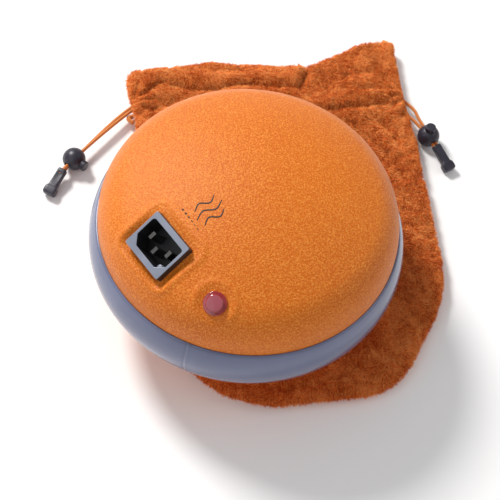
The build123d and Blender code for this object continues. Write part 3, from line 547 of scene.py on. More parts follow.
def makeBase():
    shape = {"filletSteps": 9, "around": 320}
    top = rimHeight - cover["gasketHalf"]
    kneeHeight = rimHeight - cover["wallBelow"]
    lean = math.atan2(cover["footInset"], kneeHeight - baseBottom)

    def section(inset):
        # flat foot, cone and upright wall, drawn in by an inset
        footShift = cover["footInset"] + inset * math.tan(math.pi / 4 - lean / 2)
        corners = [
            (0, baseBottom + inset), (coverRadius - footShift, baseBottom + inset),
            (coverRadius - inset, kneeHeight + inset * math.tan(lean / 2)), (coverRadius - inset, top),
        ]
        radii = (cover["footRadius"] - inset, cover["knee"] - inset)
        return filleted(corners, radii, shape["filletSteps"])

    profile = section(0) + section(cover["wall"])[::-1]
    piece = turned(
        "base_cover_skin", profile, Vector(), up, Vector((1, 0, 0)), shape["around"], vinyl, "warmer",
    )
    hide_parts("base_cover")
    return piece


def makeBand():
    band = {
        "lip": 0.0009, "bulge": 0.0052, "wall": 0.0014, "grip": 0.0031, "seam": -105.8, "around": 900,
        "rows": (34, 14), "ripple": 0.00006,
        "groove": (0.0006, 0.00045),            # depth and width
        "bead": (0.00028, 0.0012, 0.0008),      # height, distance from the groove and width
    }
    sagitta = band["bulge"] - band["lip"]
    radius = (bandHalf ** 2 + sagitta ** 2) / (2 * sagitta)
    sweep = math.degrees(math.asin(bandHalf / radius))
    centre = coverRadius + band["bulge"] - radius
    outer = arc((centre, bandMiddle), radius, -sweep + 0.8, sweep - 0.8, band["rows"][0])
    lipTop = [(coverRadius + band["lip"] * 0.55, bandHigh.z), (coverRadius, bandHigh.z)]
    hollow = bandHalf - band["grip"]
    inward = np.linspace(hollow, -hollow, band["rows"][1])
    depth = band["bulge"] - band["wall"]
    inner = [(coverRadius + depth * (1 - (h / hollow) ** 2), bandMiddle + h) for h in inward]
    lipFoot = [(coverRadius, bandLow.z), (coverRadius + band["lip"] * 0.55, bandLow.z)]
    seam = math.radians(band["seam"])

    def weld(angle, height):
        # shallow groove where the band's ends are welded
        off = math.atan2(math.sin(angle - seam), math.cos(angle - seam)) * coverRadius
        ripple = band["ripple"] * math.sin(5 * angle + 1.3)
        groove = band["groove"][0] * math.exp(-(off / band["groove"][1]) ** 2)
        rise, away, width = band["bead"]
        return ripple - groove + rise * math.exp(-((off - away) / width) ** 2)

    piece = turned(
        "rim_band_skin", outer + lipTop + inner + lipFoot, Vector(), up, Vector((1, 0, 0)), band["around"],
        bandVinyl, "warmer", weld,
    )
    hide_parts("rim_band")
    return piece


makeDome()
makeBase()
makeBand()
print("covers and band")


# mains inlet
def rayHits(outline, angles):
    # where rays from the middle meet a closed outline
    hits = []
    ends = list(zip(outline, outline[1:] + outline[:1]))
    for angle in angles:
        way = (math.cos(angle), math.sin(angle))
        best = 0
        for (ax, ay), (bx, by) in ends:
            ex, ey = bx - ax, by - ay
            cross = way[0] * ey - way[1] * ex
            if abs(cross) < 1e-12:
                continue
            reach = (ax * ey - ay * ex) / cross
            share = (ax * way[1] - ay * way[0]) / cross
            if reach > 0 and -1e-6 <= share <= 1 + 1e-6:
                best = max(best, reach)
        hits.append((way[0] * best, way[1] * best))
    return hits


def makeInlet():
    halfX, halfY = inlet["cavity"][0] / 2, inlet["cavity"][1] / 2
    cut = inlet["cut"]
    cavity = [
        (-halfX, halfY), (-halfX, cut - halfY), (cut - halfX, -halfY),
        (halfX - cut, -halfY), (halfX, cut - halfY), (halfX, halfY),
    ]
    outer = rounded(*inlet["flange"], inlet["corner"], 5)
    corners = [math.atan2(y, x) for x, y in cavity + outer]
    even = np.linspace(-math.pi, math.pi, inlet["steps"] + 1)[:-1]
    angles = sorted(set(round(float(a), 5) for a in [*corners, *even]))
    middleTop = ((cavity[0][0] + cavity[-1][0]) / 2, halfY)
    cavity = filleted([middleTop, *cavity, middleTop], inlet["fillets"], 6)[:-1]
    outer = rayHits(outer, angles)
    cavity = rayHits(cavity, angles)
    bevel = inlet["bevel"]
    housing = rayHits(rounded(halfX * 2 + 2 * inlet["wall"], halfY * 2 + 2 * inlet["wall"], bevel, 2), angles)
    face, seat, deep = 0.0, -inlet["seat"], -inlet["depth"]

    def scaled(ring, step):
        return [(x * (1 - step / math.hypot(x, y)), y * (1 - step / math.hypot(x, y))) for x, y in ring]

    body = [
        (housing, deep), (housing, seat), (outer, seat),
        (outer, -bevel), (scaled(outer, bevel * 0.3), -bevel * 0.3), (scaled(outer, bevel), face),
        (scaled(cavity, -bevel), face), (scaled(cavity, -bevel * 0.3), -bevel * 0.3), (cavity, -bevel),
        (cavity, -inlet["cavityDepth"]),
    ]
    points = []
    for ring, height in body:
        points += [
            inlet["face"] + inlet["right"] * x + inlet["inwards"] * y + inlet["out"] * height for x, y in ring
        ]
    count = len(angles)
    faces = gridFaces(len(body), count)
    faces.append(tuple(range(count)))
    faces.append(tuple(range((len(body) - 1) * count, len(body) * count)))
    piece = fixNormals(meshPiece("inlet_shell", points, faces, inletBlack, "warmer"))
    piece.data.materials.append(inletLitFace)
    # painted highlight: front faces that look outward take the lit grey material
    for polygon in piece.data.polygons:
        level = (polygon.center - inlet["face"]).dot(inlet["out"])
        polygon.material_index = 1 if level > -bevel * 0.9 and polygon.normal.dot(inlet["out"]) > 0.55 else 0
        polygon.use_smooth = False
    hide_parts("inlet_body")
    # key rib in the cut corner, also in the lit grey as a painted highlight
    middle = (halfX - cut / 2, cut / 2 - halfY)
    centre = inlet["face"] + inlet["right"] * middle[0] + inlet["inwards"] * middle[1]
    low, high = -inlet["cavityDepth"], -0.0002
    size = inlet["rib"]
    rib = [(0, high), (size - 0.0002, high), (size, high - 0.0002), (size, low), (0, low)]
    turned(
        "inlet_key_rib", rib, centre, inlet["out"], inlet["right"], 28, inletLitFace, "warmer",
    )
    return piece


makeInlet()


# pilot lamp
def makeLens():
    lens = {
        "flange": 0.0062, "rim": 0.0014, "button": 0.0046, "rise": 0.0016, "stem": 0.0047,
        "stemLength": 0.014, "bore": 0.0038, "roof": 0.001, "soft": 0.0006, "crown": 0.00018,
    }
    top = lens["rim"] + lens["rise"]
    soft, crown = lens["soft"], lens["crown"]
    profile = [(0, top + crown)]
    profile += [(r, top + crown * (1 - (r / lens["button"]) ** 2)) for r in np.linspace(0.0008, 0.0038, 6)]
    profile += arc((lens["button"] - soft, top - soft), soft, 80, 0, 7)
    profile += arc((lens["button"] + 0.0003, lens["rim"] + 0.0003), 0.0003, 180, 270, 5)
    profile += arc((lens["flange"] - 0.0004, lens["rim"] - 0.0004), 0.0004, 90, 0, 6)
    profile += [(lens["flange"], 0), (lens["stem"], 0), (lens["stem"], -lens["stemLength"])]
    profile += [(lens["bore"], -lens["stemLength"]), (lens["bore"], lens["rim"] - lens["roof"])]
    profile += [(0, lens["rim"] - lens["roof"])]
    piece = turned(
        "lamp_lens_cap", profile, lamp["face"], lamp["out"], lamp["right"], 96, lensRed, "warmer"
    )
    # painted highlight: the flat top faces take the paler pink copy
    piece.data.materials.append(lensLitTop)
    for polygon in piece.data.polygons:
        level = (polygon.center - lamp["face"]).dot(lamp["out"])
        if level > top - soft * 0.3 and polygon.normal.dot(lamp["out"]) > 0.9:
            polygon.material_index = 1
    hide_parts("lamp_lens")


makeLens()
print("inlet and lamp")


# printed sign on the dome: three rising waves over a dotted line
def makePrint():
    sign = {
        "middle": (-0.0219, -0.0229), "turn": -50.0, "width": 0.0008, "proud": 0.00007,
        "waveLength": 0.0165, "wave": 0.0014, "spacing": 0.0048, "lift": 0.00002,
        "dots": 7, "dotRow": -0.0092, "dotSpacing": 0.0028, "dotHalf": 0.0007,
    }
    turn = math.radians(sign["turn"])
    points, faces = [], []

    def place(x, y):
        px = sign["middle"][0] + x * math.cos(turn) - y * math.sin(turn)
        py = sign["middle"][1] + x * math.sin(turn) + y * math.cos(turn)
        radius = math.hypot(px, py)
        height = float(domeHeight(np.array(radius))) + sign["lift"] + float(skinSwell([(px, py)])[0])
        normal = Vector((px, py, height - rimHeight - crownCentre)).normalized()
        return Vector((px, py, height)), normal

    def ribbon(line, halves):
        start = len(points)
        for number, (x, y) in enumerate(line):
            ahead = line[min(number + 1, len(line) - 1)]
            behind = line[max(number - 1, 0)]
            way = Vector((ahead[0] - behind[0], ahead[1] - behind[1])).normalized()
            half = halves(number / (len(line) - 1))
            for side, level in ((-1, -1), (-1, 1), (1, 1), (1, -1)):
                point, normal = place(x - way.y * half * side, y + way.x * half * side)
                points.append(point + normal * (sign["proud"] if level > 0 else -sign["proud"]))
        rows = len(line)
        faces.extend(gridFaces(rows, 4, start=start))
        faces.append(tuple(start + k for k in (3, 2, 1, 0)))
        faces.append(tuple(start + (rows - 1) * 4 + k for k in (0, 1, 2, 3)))

    def tapered(share):
        swelling = math.sin(math.pi * min(max(share, 0.02), 0.98)) ** 0.5
        return sign["width"] / 2 * (0.35 + 0.65 * swelling)

    for number in (-1, 0, 1):
        reach = sign["waveLength"] * (1.0 if number == 0 else 0.8)
        line = []
        for along in np.linspace(-0.5, 0.5, 49):
            sway = sign["wave"] * math.sin(along * 2.6 * math.pi)
            line.append((number * sign["spacing"] + sway, along * reach + 0.0015))
        ribbon(line, tapered)
    for number in range(sign["dots"]):
        x = (number - (sign["dots"] - 1) / 2) * sign["dotSpacing"]
        line = [(x + side * sign["dotHalf"], sign["dotRow"]) for side in (-1, 0, 1)]
        ribbon(line, lambda share: sign["width"] / 2)
    return fixNormals(meshPiece("cover_print", points, faces, inkBlack, "warmer"))


makePrint()
print("print")

# pouch
pouch = {
    "outlineSteps": 700,
    "puff": 0.0075,             # width of the rounded edge
    "seam": 0.0002,             # air between the panels
    "flat": (0.214, 0.282),
    "area": 0.0418,
    "sunk": 0.0004,             # the cloth's mean under the CAD panel's face
    "pressedTo": 0.060,         # flat under the warmer out to here
    "freeFrom": 0.082,          # as lively as anywhere from here
    "gather": 0.0017,
}
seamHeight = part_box("pouch_back_panel")[1].z
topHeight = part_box("pouch_front_panel")[1].z


def pouchOutline():
    # the rim of the CAD panel's upper face, evenly spaced
    flat = np.array([v.co for v in nodes["pouch_front_panel"].data.vertices])
    flat = flat[flat[:, 2] > topHeight - 1e-5][:, :2]
    middle = (flat.min(0) + flat.max(0)) / 2
    angles = np.arctan2(flat[:, 1] - middle[1], flat[:, 0] - middle[0])
    order = np.argsort(angles)
    ring = flat[order]
    keep = np.r_[True, np.hypot(*(ring[1:] - ring[:-1]).T) > 1e-5]
    ring = ring[keep]
    closed = np.vstack([ring, ring[:1]])
    run = np.r_[0, np.cumsum(np.hypot(*(closed[1:] - closed[:-1]).T))]
    even = np.linspace(0, run[-1], pouch["outlineSteps"], endpoint=False)
    outline = np.stack([np.interp(even, run, closed[:, k]) for k in (0, 1)], 1)
    wobble = waves(outline, 0.013, 8.0) * 0.0007 + waves(outline, 0.004, 2.0) * 0.0003
    outward = outline - middle
    outward /= np.hypot(*outward.T)[:, None]
    return outline + outward * (wobble - 0.0006)[:, None], middle


def fromLine(points, line):
    # distance to a polyline, signed by side, and how far along it
    best = np.full(len(points), 9.0)
    side = np.zeros(len(points))
    along = np.zeros(len(points))
    run = 0.0
    total = sum(math.dist(a, b) for a, b in zip(line, line[1:]))
    for (ax, ay), (bx, by) in zip(line, line[1:]):
        ex, ey = bx - ax, by - ay
        size = math.hypot(ex, ey)
        share = np.clip(((points[:, 0] - ax) * ex + (points[:, 1] - ay) * ey) / size ** 2, 0, 1)
        dx = points[:, 0] - ax - share * ex
        dy = points[:, 1] - ay - share * ey
        reach = np.hypot(dx, dy)
        nearer = reach < best
        best = np.where(nearer, reach, best)
        side = np.where(nearer, np.sign(ex * dy - ey * dx), side)
        along = np.where(nearer, (run + share * size) / total, along)
        run += size
    return best * side, along


folds = [
    # line, groove depth, groove width, swell on its left, swell on its right, swell width
    ([(-0.084, 0.113), (-0.068, 0.1305), (-0.049, 0.129), (-0.037, 0.130), (-0.017, 0.137), (0.019, 0.1425)],
     0.0030, 0.0022, 0.0022, 0.0018, 0.008),
    ([(0.020, 0.121), (0.0386, 0.1265), (0.0518, 0.1309), (0.0715, 0.136), (0.086, 0.1415)],
     0.0034, 0.0020, 0.0026, 0.0016, 0.009),
    ([(0.0165, 0.168), (0.024, 0.156), (0.0216, 0.1496), (0.0198, 0.141)],
     0.0045, 0.0022, 0.0002, 0.0034, 0.007),
    ([(-0.060, 0.142), (-0.040, 0.146), (-0.015, 0.149)], 0.0012, 0.0030, 0.0008, 0.0008, 0.007),
    ([(0.044, 0.151), (0.052, 0.158), (0.066, 0.163)], 0.0015, 0.0032, 0.0008, 0.0012, 0.008),
    ([(0.070, 0.126), (0.080, 0.117), (0.089, 0.104), (0.095, 0.088)], 0.0022, 0.0030, 0.0016, 0.0010, 0.009),
    ([(0.066, 0.111), (0.083, 0.096), (0.093, 0.078)], 0.0018, 0.0028, 0.0014, 0.0014, 0.008),
    ([(0.078, 0.145), (0.066, 0.1475), (0.057, 0.146)], 0.0024, 0.0018, 0.0014, 0.0014, 0.005),
    ([(-0.080, 0.104), (-0.066, 0.112), (-0.054, 0.118)], 0.0018, 0.0024, 0.0012, 0.0012, 0.007),
    ([(0.106, 0.060), (0.112, 0.030), (0.112, 0.000), (0.104, -0.026)],
     0.0014, 0.0035, 0.0012, 0.0006, 0.009),
    ([(0.080, -0.045), (0.050, -0.064), (0.015, -0.074)], 0.0014, 0.0035, 0.0006, 0.0012, 0.009),
]


def pouchTop(points):
    # height of the upper cloth over the table
    reach = np.hypot(points[:, 0], points[:, 1])
    free = smooth(reach, pouch["pressedTo"], pouch["freeFrom"])
    lift = waves(points, 0.034, 1.3) * 0.0016 + waves(points, 0.014, 4.4) * 0.0010
    lift += waves(points, 0.0062, 6.2) * 0.0005 + waves(points, 0.0036, 7.9) * 0.0007
    lift += 0.0014 * smooth(points[:, 1], 0.095, 0.14)
    for line, depth, width, leftSwell, rightSwell, swellWidth in folds:
        distance, along = fromLine(points, line)
        ends = smooth(along, 0.0, 0.12) * (1 - smooth(along, 0.88, 1.0)) * 0.75 + 0.25
        ends = np.where((along <= 0) | (along >= 1), ends * bump(np.abs(distance), 0.006), ends)
        groove = -depth * bump(distance, width)
        left = leftSwell * bump(distance - swellWidth * 0.75, swellWidth * 0.6) * (distance > 0)
        right = rightSwell * bump(distance + swellWidth * 0.75, swellWidth * 0.6) * (distance < 0)
        lift += (groove + left + right) * ends
    # gathers where the strings leave the casing
    for exitX, exitY, aim in ((-0.0823, 0.112, 1.05), (0.0877, 0.147, 3.3)):
        away = points - np.array([exitX, exitY])
        size = np.hypot(*away.T)
        angle = np.arctan2(away[:, 1], away[:, 0])
        lift += pouch["gather"] * np.sin(angle * 11 + aim) * bump(size - 0.010, 0.009)
    return topHeight - pouch["sunk"] + lift * free


outline, pouchMiddle = pouchOutline()


def makePanel(name, node, upper):
    ringShares = np.concatenate([
        np.linspace(0.02, 0.50, 14, endpoint=False),
        np.linspace(0.50, 0.93, 44, endpoint=False),
        np.linspace(0.93, 1.0, 13),
    ])
    away = outline - pouchMiddle
    size = np.hypot(*away.T)
    count = len(outline)
    upperRows, lowerRows = [], []
    for share in ringShares:
        flat = pouchMiddle + away * share
        inFrom = (1 - share) * size
        bulge = np.sqrt(np.clip(1 - (1 - np.minimum(inFrom / pouch["puff"], 1)) ** 2, 0, 1))
        if upper:
            crest = pouchTop(flat)
            high = seamHeight + pouch["seam"] + (crest - seamHeight - pouch["seam"]) * bulge
            low = np.full(count, seamHeight + pouch["seam"])
        else:
            high = np.full(count, seamHeight - pouch["seam"])
            low = seamHeight - pouch["seam"] - (seamHeight - pouch["seam"] - 0.0004) * bulge
        upperRows.append(np.column_stack([flat, high]))
        lowerRows.append(np.column_stack([flat, low]))
    rows = upperRows + lowerRows[:-1][::-1]
    points = np.concatenate(rows)
    faces = gridFaces(len(rows), count)
    start = len(points)
    first, last = rows[0].mean(0), rows[-1].mean(0)
    points = np.vstack([points, first, last])
    lastRow = (len(rows) - 1) * count
    faces += [(start, (step + 1) % count, step) for step in range(count)]
    faces += [(start + 1, lastRow + step, lastRow + (step + 1) % count) for step in range(count)]
    piece = fixNormals(meshPiece(name, points, faces, plush, "pouch"))
    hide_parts(node)
    return piece


frontPanel = makePanel("pouch_front_cloth", "pouch_front_panel", True)
backPanel = makePanel("pouch_back_cloth", "pouch_back_panel", False)
print("pouch cloth")


# pile of the plush: blades strewn by geometry nodes
def bladeMesh():
    # a short curved blade, wide at the foot, that ends in a point
    blade = {"half": 0.000195, "length": 0.0025, "bend": 0.3}
    points = []
    for rise, wides in ((0, (-1.0, 1.0)), (0.55, (-0.85, 0.85)), (1.0, (0.0,))):
        bend = -blade["bend"] * rise ** 2 * blade["length"]
        points += [(wide * blade["half"], bend, rise * blade["length"]) for wide in wides]
    faces = [(0, 1, 3, 2), (2, 3, 4)]
    mesh = bpy.data.meshes.new("blade")
    mesh.from_pydata(points, [], faces)
    holder = bpy.data.objects.new("blade", mesh)
    bpy.context.scene.collection.objects.link(holder)
    return holder


def pileTree(material):
    tree = bpy.data.node_groups.new("strewnPile", "GeometryNodeTree")
    face = tree.interface
    face.new_socket("Geometry", in_out="INPUT", socket_type="NodeSocketGeometry")
    face.new_socket("Blade", in_out="INPUT", socket_type="NodeSocketObject")
    face.new_socket("Density", in_out="INPUT", socket_type="NodeSocketFloat")
    face.new_socket("Seed", in_out="INPUT", socket_type="NodeSocketInt")
    face.new_socket("Shortest", in_out="INPUT", socket_type="NodeSocketFloat")
    face.new_socket("Longest", in_out="INPUT", socket_type="NodeSocketFloat")
    face.new_socket("Geometry", in_out="OUTPUT", socket_type="NodeSocketGeometry")
    entry = Wire.make(tree, "NodeGroupInput").socket.node
    given = {output.name: Wire(tree, output) for output in entry.outputs if output.name}
    share = Wire.make(tree, "GeometryNodeInputNamedAttribute", {"data_type": "FLOAT"}, {"Name": "share"})
    lean = Wire.make(tree, "GeometryNodeInputNamedAttribute", {"data_type": "FLOAT_VECTOR"}, {"Name": "lean"})
    strewn = Wire.make(
        tree, "GeometryNodeDistributePointsOnFaces", {"distribute_method": "RANDOM"},
        {"Mesh": given["Geometry"], "Density": share * given["Density"], "Seed": given["Seed"]},
    )
    normal = Wire(tree, strewn.socket.node.outputs["Normal"])
    stray = Wire.make(
        tree, "FunctionNodeRandomValue", {"data_type": "FLOAT_VECTOR"},
        {"Min": (-0.55, -0.55, -0.1), "Max": (0.55, 0.55, 0.45), "Seed": given["Seed"]},
    )
    way = Wire.make(tree, "ShaderNodeVectorMath", {"operation": "SCALE"}, {"Vector": normal, "Scale": 0.5})
    way = Wire.make(tree, "ShaderNodeVectorMath", {"operation": "ADD"}, {0: way, 1: lean})
    way = Wire.make(tree, "ShaderNodeVectorMath", {"operation": "ADD"}, {0: way, 1: stray})
    spin = Wire.make(tree, "FunctionNodeAlignRotationToVector", {"axis": "Z"}, {"Vector": way})
    # then turned about its length, so its flat side looks up
    spin = Wire.make(
        tree, "FunctionNodeAlignRotationToVector", {"axis": "Y", "pivot_axis": "Z"},
        {"Rotation": spin, "Vector": (0.0, 0.0, 1.0)},
    )
    size = Wire.make(
        tree, "FunctionNodeRandomValue", {"data_type": "FLOAT"},
        {2: given["Shortest"], 3: given["Longest"], "Seed": given["Seed"]}, 1,
    )
    blade = Wire.make(tree, "GeometryNodeObjectInfo", None, {"Object": given["Blade"]}, 4)
    placed = Wire.make(
        tree, "GeometryNodeInstanceOnPoints", None,
        {"Points": strewn, "Instance": blade, "Rotation": spin, "Scale": size},
    )
    real = Wire.make(tree, "GeometryNodeRealizeInstances", None, {0: placed})
    done = Wire.make(tree, "GeometryNodeSetMaterial", None, {"Geometry": real, "Material": material})
    exitNode = tree.nodes.new("NodeGroupOutput")
    tree.links.new(done.socket, exitNode.inputs[0])
    return tree


def asMesh(source):
    # the evaluated shape as a plain mesh
    depsgraph = bpy.context.evaluated_depsgraph_get()
    depsgraph.update()
    return bpy.data.meshes.new_from_object(source.evaluated_get(depsgraph))


def makePile():
    pile = {
        "density": 2.05e6, "shortest": 0.6, "longest": 1.05, "underWarmer": 0.65,
        "pressedFrom": 0.066, "pressedTo": 0.076, "lean": 0.8, "outward": 0.35,
    }
    # painted sheen: three lighter and darker copies of one plush colour, strewn in the crushed pile's patches
    tones = {
        "Light": ((0.88, 0.33, 0.085), 0.66, (21, 24)),
        "Middle": ((0.80, 0.185, 0.025), 0.50, (47, 52)),
        "Dark": ((0.50, 0.080, 0.008), 0.34, (83, 89)),
    }
    blade = bladeMesh()
    made = []
    strewings = [(toneName, number) for toneName in tones for number in (0, 1)]
    for toneName, number in strewings:
        colour, aim, seeds = tones[toneName]
        seed = seeds[number]
        look = "pile" + toneName
        material = bpy.data.materials.get(look) or shaded(look, {
            "Base Color": (*colour, 1), "Roughness": 0.75, "Specular IOR Level": 0.25,
        })
        source = bpy.data.objects.new("pileGround", frontPanel.data.copy())
        bpy.context.scene.collection.objects.link(source)
        points = np.array([v.co for v in source.data.vertices])
        normals = np.array([v.normal for v in source.data.vertices])
        patches = 0.8 * waves(points, 0.021, 11.0) + 0.7 * waves(points, 0.0085, 5.0)
        patches += waves(points, 0.0034, 9.0)
        reach = np.hypot(points[:, 0], points[:, 1])
        pressed = 1 - smooth(reach, pile["pressedFrom"], pile["pressedTo"])
        # tone level: painted sheen patches, made darker beneath the warmer as painted shade
        paintedLightLevel = 0.5 + 0.42 * patches - 0.10 * pressed
        seen = smooth(points[:, 2], seamHeight - 0.001, seamHeight + 0.0004)
        seen *= np.maximum(smooth(normals[:, 2], -0.35, 0.1), 0)
        share = seen * np.clip(bump(paintedLightLevel - aim, 0.24) + 0.12, 0, 1)
        share *= 1 - (1 - pile["underWarmer"]) * pressed
        turn = 2.2 * waves(points, 0.026, 15.0) + 1.3 * waves(points, 0.010, 19.0) - 1.2
        turn += 2.4 * waves(points, 0.0042, 27.0)
        lean = np.stack([np.cos(turn), np.sin(turn), np.zeros(len(points))], 1) * pile["lean"]
        outward = points[:, :2] - pouchMiddle
        outward /= np.maximum(np.hypot(*outward.T), 1e-6)[:, None]
        edge = 1 - smooth(points[:, 2], seamHeight, seamHeight + 0.004)
        lean[:, :2] = lean[:, :2] * (1 - edge[:, None] * 0.6) + outward * edge[:, None] * pile["outward"]
        # the warmer's weight lays the pile flat beneath it
        lean[:, 2] = -0.72 * pressed
        source.data.attributes.new("share", "FLOAT", "POINT").data.foreach_set(
            "value", share.astype(np.float32)
        )
        source.data.attributes.new("lean", "FLOAT_VECTOR", "POINT").data.foreach_set(
            "vector", lean.astype(np.float32).ravel()
        )
        grower = source.modifiers.new("pile", "NODES")
        grower.node_group = pileTree(material)
        values = {
            "Blade": blade, "Density": pile["density"], "Seed": seed,
            "Shortest": pile["shortest"], "Longest": pile["longest"],
        }
        for item in grower.node_group.interface.items_tree:
            if item.in_out == "INPUT" and item.name in values:
                grower[item.identifier] = values[item.name]
        mesh = asMesh(source)
        bpy.data.objects.remove(source)
        for attribute in [a.name for a in mesh.attributes if a.name in ("share", "lean")]:
            mesh.attributes.remove(mesh.attributes[attribute])
        piece = bpy.data.objects.new("pouch_pile_" + toneName.lower() + ("_a", "_b")[number], mesh)
        bpy.context.scene.collection.objects.link(piece)
        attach(piece, "pouch")
        made.append(piece)
        print("pile", toneName, len(mesh.loops) - 2 * len(mesh.polygons), "triangles")
    bpy.data.objects.remove(blade)
    return made


pilePieces = makePile()
print("pouch pile")


# drawstrings
strings = {
    "diameter": 0.0022,
    "relief": 0.00012,
    "step": 0.0003,
    "around": 20,
    "bightRadius": 0.0015,
    "bightRelief": 0.0002,
    "bights": {                 # where each string turns back out of the casing's far end
        "left": ((-0.0812, 0.1065, 0.0052), (-0.0868, 0.1040, 0.0060), (-0.0802, 0.1015, 0.0052)),
        "right": ((0.0947, 0.1190, 0.0052), (0.1006, 0.1145, 0.0060), (0.0962, 0.1098, 0.0052)),
    },
    "routes": {
        "left_string_upper": [
            (-0.08130, 0.11143, 0.0066), (-0.08790, 0.10277, 0.0078), (-0.11521, 0.05994, 0.00845),
            (-0.11752, 0.05408, 0.00762),
        ],
        "left_string_lower": [
            (-0.08326, 0.11261, 0.0060), (-0.09006, 0.10407, 0.0070), (-0.11521, 0.05994, 0.00615),
            (-0.11752, 0.05408, 0.00532),
        ],
        "right_string_far": [
            (0.08865, 0.14772, 0.0062), (0.09585, 0.14252, 0.0067), (0.09903, 0.13312, 0.0073),
            (0.11107, 0.11616, 0.0073), (0.11380, 0.11232, 0.00647),
        ],
        "right_string_near": [
            (0.08678, 0.14639, 0.0062), (0.09110, 0.13608, 0.0067), (0.09715, 0.13179, 0.0073),
            (0.10920, 0.11483, 0.0073), (0.11193, 0.11099, 0.00647),
        ],
    },
}


def smoothRoute(name, route):
    # points along the NURBS line through the route, evenly spaced
    data = bpy.data.curves.new(name, "CURVE")
    data.dimensions = "3D"
    spline = data.splines.new("NURBS")
    spline.points.add(len(route) - 1)
    for point, place in zip(spline.points, route):
        point.co = (*place, 1)
    spline.order_u = 3
    spline.use_endpoint_u = True
    spline.resolution_u = 24
    holder = bpy.data.objects.new(name + "_line", data)
    bpy.context.scene.collection.objects.link(holder)
    mesh = asMesh(holder)
    line = np.array([v.co for v in mesh.vertices])
    bpy.data.objects.remove(holder)
    run = np.r_[0, np.cumsum(np.linalg.norm(line[1:] - line[:-1], axis=1))]
    even = np.linspace(0, run[-1], int(run[-1] / strings["step"]) + 1)
    return np.stack([np.interp(even, run, line[:, k]) for k in range(3)], 1), float(run[-1])


def braidedTube(name, line, radius, relief, material, body):
    # tube whose skin rises and falls like crossing strands
    count, around = len(line), strings["around"]
    ways = np.gradient(line, axis=0)
    ways /= np.linalg.norm(ways, axis=1)[:, None]
    side = np.cross(ways[0], (0, 0, 1.0))
    side /= np.linalg.norm(side)
    run = np.r_[0, np.cumsum(np.linalg.norm(line[1:] - line[:-1], axis=1))]
    points = []
    for number in range(count):
        side = side - ways[number] * side.dot(ways[number])
        side /= np.linalg.norm(side)
        other = np.cross(ways[number], side)
        for step in range(around):
            angle = 2 * math.pi * step / around
            along = run[number] * braidPitch
            weave = math.sin(3 * angle + along) * math.sin(3 * angle - along)
            reach = radius - relief * (0.5 - 0.5 * weave)
            points.append(line[number] + (side * math.cos(angle) + other * math.sin(angle)) * reach)
    faces = gridFaces(count, around)
    faces.append(tuple(range(around - 1, -1, -1)))
    faces.append(tuple(range((count - 1) * around, count * around)))
    piece = meshPiece(name, points, faces, material, body)
    layer = piece.data.uv_layers.new(name="braid")
    for polygon in piece.data.polygons:
        for loop in polygon.loop_indices:
            vertex = piece.data.loops[loop].vertex_index
            layer.data[loop].uv = ((vertex % around) / around, float(run[min(vertex // around, count - 1)]))
    return fixSeam(piece)


def fixSeam(piece):
    # the last column of faces runs on past one turn
    layer = piece.data.uv_layers["braid"]
    for polygon in piece.data.polygons:
        turns = [layer.data[loop].uv[0] for loop in polygon.loop_indices]
        if len(turns) == 4 and max(turns) - min(turns) > 0.5:
            for loop in polygon.loop_indices:
                if layer.data[loop].uv[0] < 0.5:
                    layer.data[loop].uv[0] += 1
    return piece


strands = {}
for name, route in strings["routes"].items():
    line, length = smoothRoute(name, route)
    piece = braidedTube(
        name + "_braid", line, strings["diameter"] / 2, strings["relief"], cordOrange, "pouch",
    )
    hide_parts(name)
    strands[name] = (piece, line, length)
for side, corners in strings["bights"].items():
    start, crest, end = np.array(corners)
    shares = np.linspace(0, 1, 25)[:, None]
    bend = (1 - shares) ** 2 * start + 2 * shares * (1 - shares) * crest + shares ** 2 * end
    loop = braidedTube(
        side + "_bight_loop", bend, strings["bightRadius"], strings["bightRelief"], cordOrange, "pouch",
    )
    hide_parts(side + "_bight")
print("strings")


# cord ends
def makeTab(side, start, level):
    # moulded tab with a flared collar by its tip
    tab = {
        "length": 0.0186, "tilt": 12.0, "neck": (0.0056, 0.0046), "collar": 0.0135, "corner": 0.0011,
        "groove": 0.00055,
    }
    tilt = math.radians(tab["tilt"])
    way = level * math.cos(tilt) - up * math.sin(tilt)
    across = level.cross(up)
    above = across.cross(way)
    length = tab["length"]
    profile = [
        (0.0, 0.80, 0.82), (0.0004, 0.95, 0.95), (0.0012, 1.0, 1.0), (0.0030, 1.0, 1.0), (0.0034, 0.96, 1.0),
        (0.0120, 1.02, 1.02), (tab["collar"] - 0.0006, 1.05, 1.03), (tab["collar"], 1.36, 1.16),
        (tab["collar"] + 0.0012, 1.42, 1.19), (length - 0.0016, 1.42, 1.19), (length - 0.0006, 1.36, 1.12),
        (length, 1.18, 0.95),
    ]
    rings = []
    for place, wide, high in profile:
        ring = rounded(tab["neck"][0] * wide, tab["neck"][1] * high, tab["corner"], 5)
        inset = tab["groove"] if 0.0033 < place < tab["collar"] - 0.0005 else 0.0
        for x, y in ring:
            dip = inset if abs(x) < tab["neck"][0] * 0.3 and y > 0 else 0.0
            rings.append(start + way * place + across * x + above * (y - dip))
    count = len(ring)
    faces = gridFaces(len(profile), count)
    faces.append(tuple(range(count - 1, -1, -1)))
    faces.append(tuple(range((len(profile) - 1) * count, len(profile) * count)))
    piece = fixNormals(meshPiece(side + "_cord_tab", rings, faces, nylonBlack, "pouch"))
    soft = piece.modifiers.new("soft", "SUBSURF")
    soft.levels = soft.render_levels = 1
    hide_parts(side + "_cord_end")
    return piece


for side, pair, start in (
    ("left", ("left_string_upper", "left_string_lower"), Vector((-0.1161766, 0.0577518, 0.0073))),
    ("right", ("right_string_far", "right_string_near"), Vector((0.1105974, 0.1148455, 0.0073))),
):
    ends = sum((Vector(strands[name][1][-1]) for name in pair), Vector()) / 2
    heading = Vector((ends.x - start.x, ends.y - start.y, 0)).normalized()
    tabPiece = makeTab(side, start, heading)
    for number, name in enumerate(pair):
        piece, line, length = strands[name]
        [tuple(p) for p in line[::4]] + [tuple(line[-1])]
print("cord ends")


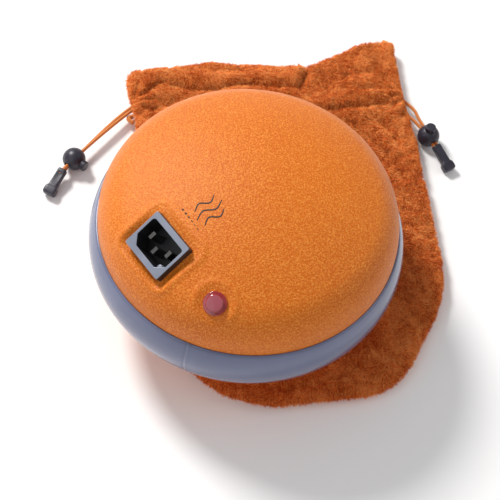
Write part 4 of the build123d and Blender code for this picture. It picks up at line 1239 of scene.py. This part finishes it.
# floor, light and camera
floor = bpy.data.objects.new("floor", bpy.data.meshes.new("floor"))
reach = 6.0
corners = [(-reach, -reach, 0), (reach, -reach, 0), (reach, reach, 0), (-reach, reach, 0)]
floor.data.from_pydata(corners, [], [(0, 1, 2, 3)])
bpy.context.scene.collection.objects.link(floor)
floor.data.materials.append(shaded("paleFloor", {"Base Color": (0.98, 0.98, 0.98, 1), "Roughness": 0.9}))

world = bpy.context.scene.world or bpy.data.worlds.new("studio")
bpy.context.scene.world = world
world.use_nodes = True
background = world.node_tree.nodes["Background"]
background.inputs["Color"].default_value = (1.0, 1.0, 1.0, 1)
background.inputs["Strength"].default_value = 0.42


def softLight(name, place, aim, size, power, colour):
    light = bpy.data.lights.new(name, "AREA")
    light.shape = "DISK"
    light.size = size
    light.energy = power
    light.color = colour
    holder = bpy.data.objects.new(name, light)
    bpy.context.scene.collection.objects.link(holder)
    holder.location = place
    holder.rotation_mode = "QUATERNION"
    holder.rotation_quaternion = (Vector(aim) - Vector(place)).to_track_quat("-Z", "Y")


middle = Vector((0, 0, rimHeight))
softLight("key", (-0.80, 0.72, 1.15), middle, 0.40, 22.0, (1.0, 0.985, 0.96))
softLight("fill", (-0.9, -1.0, 1.2), middle, 1.4, 5.0, (0.93, 0.96, 1.0))
softLight("rim", (1.1, 0.1, 0.9), middle, 0.8, 2.0, (0.95, 0.97, 1.0))

view = {"elevation": 57.3, "distance": 0.7292, "roll": 7.86, "focal": 94.6, "shift": (0.0058, -0.0338)}
camera = bpy.data.objects.new("camera", bpy.data.cameras.new("camera"))
bpy.context.scene.collection.objects.link(camera)
bpy.context.scene.camera = camera
camera.data.lens = view["focal"]
camera.data.sensor_width = 36
camera.data.shift_x, camera.data.shift_y = view["shift"]
tilt = math.radians(view["elevation"])
back = Vector((0, -math.cos(tilt), math.sin(tilt)))
camera.location = middle + back * view["distance"]
camera.rotation_mode = "QUATERNION"
facing = (-back).to_track_quat("-Z", "Y")
camera.rotation_quaternion = facing @ Quaternion((0, 0, 1), math.radians(view["roll"]))
camera.data.clip_start = 0.01

bpy.context.scene.view_settings.view_transform = "Standard"
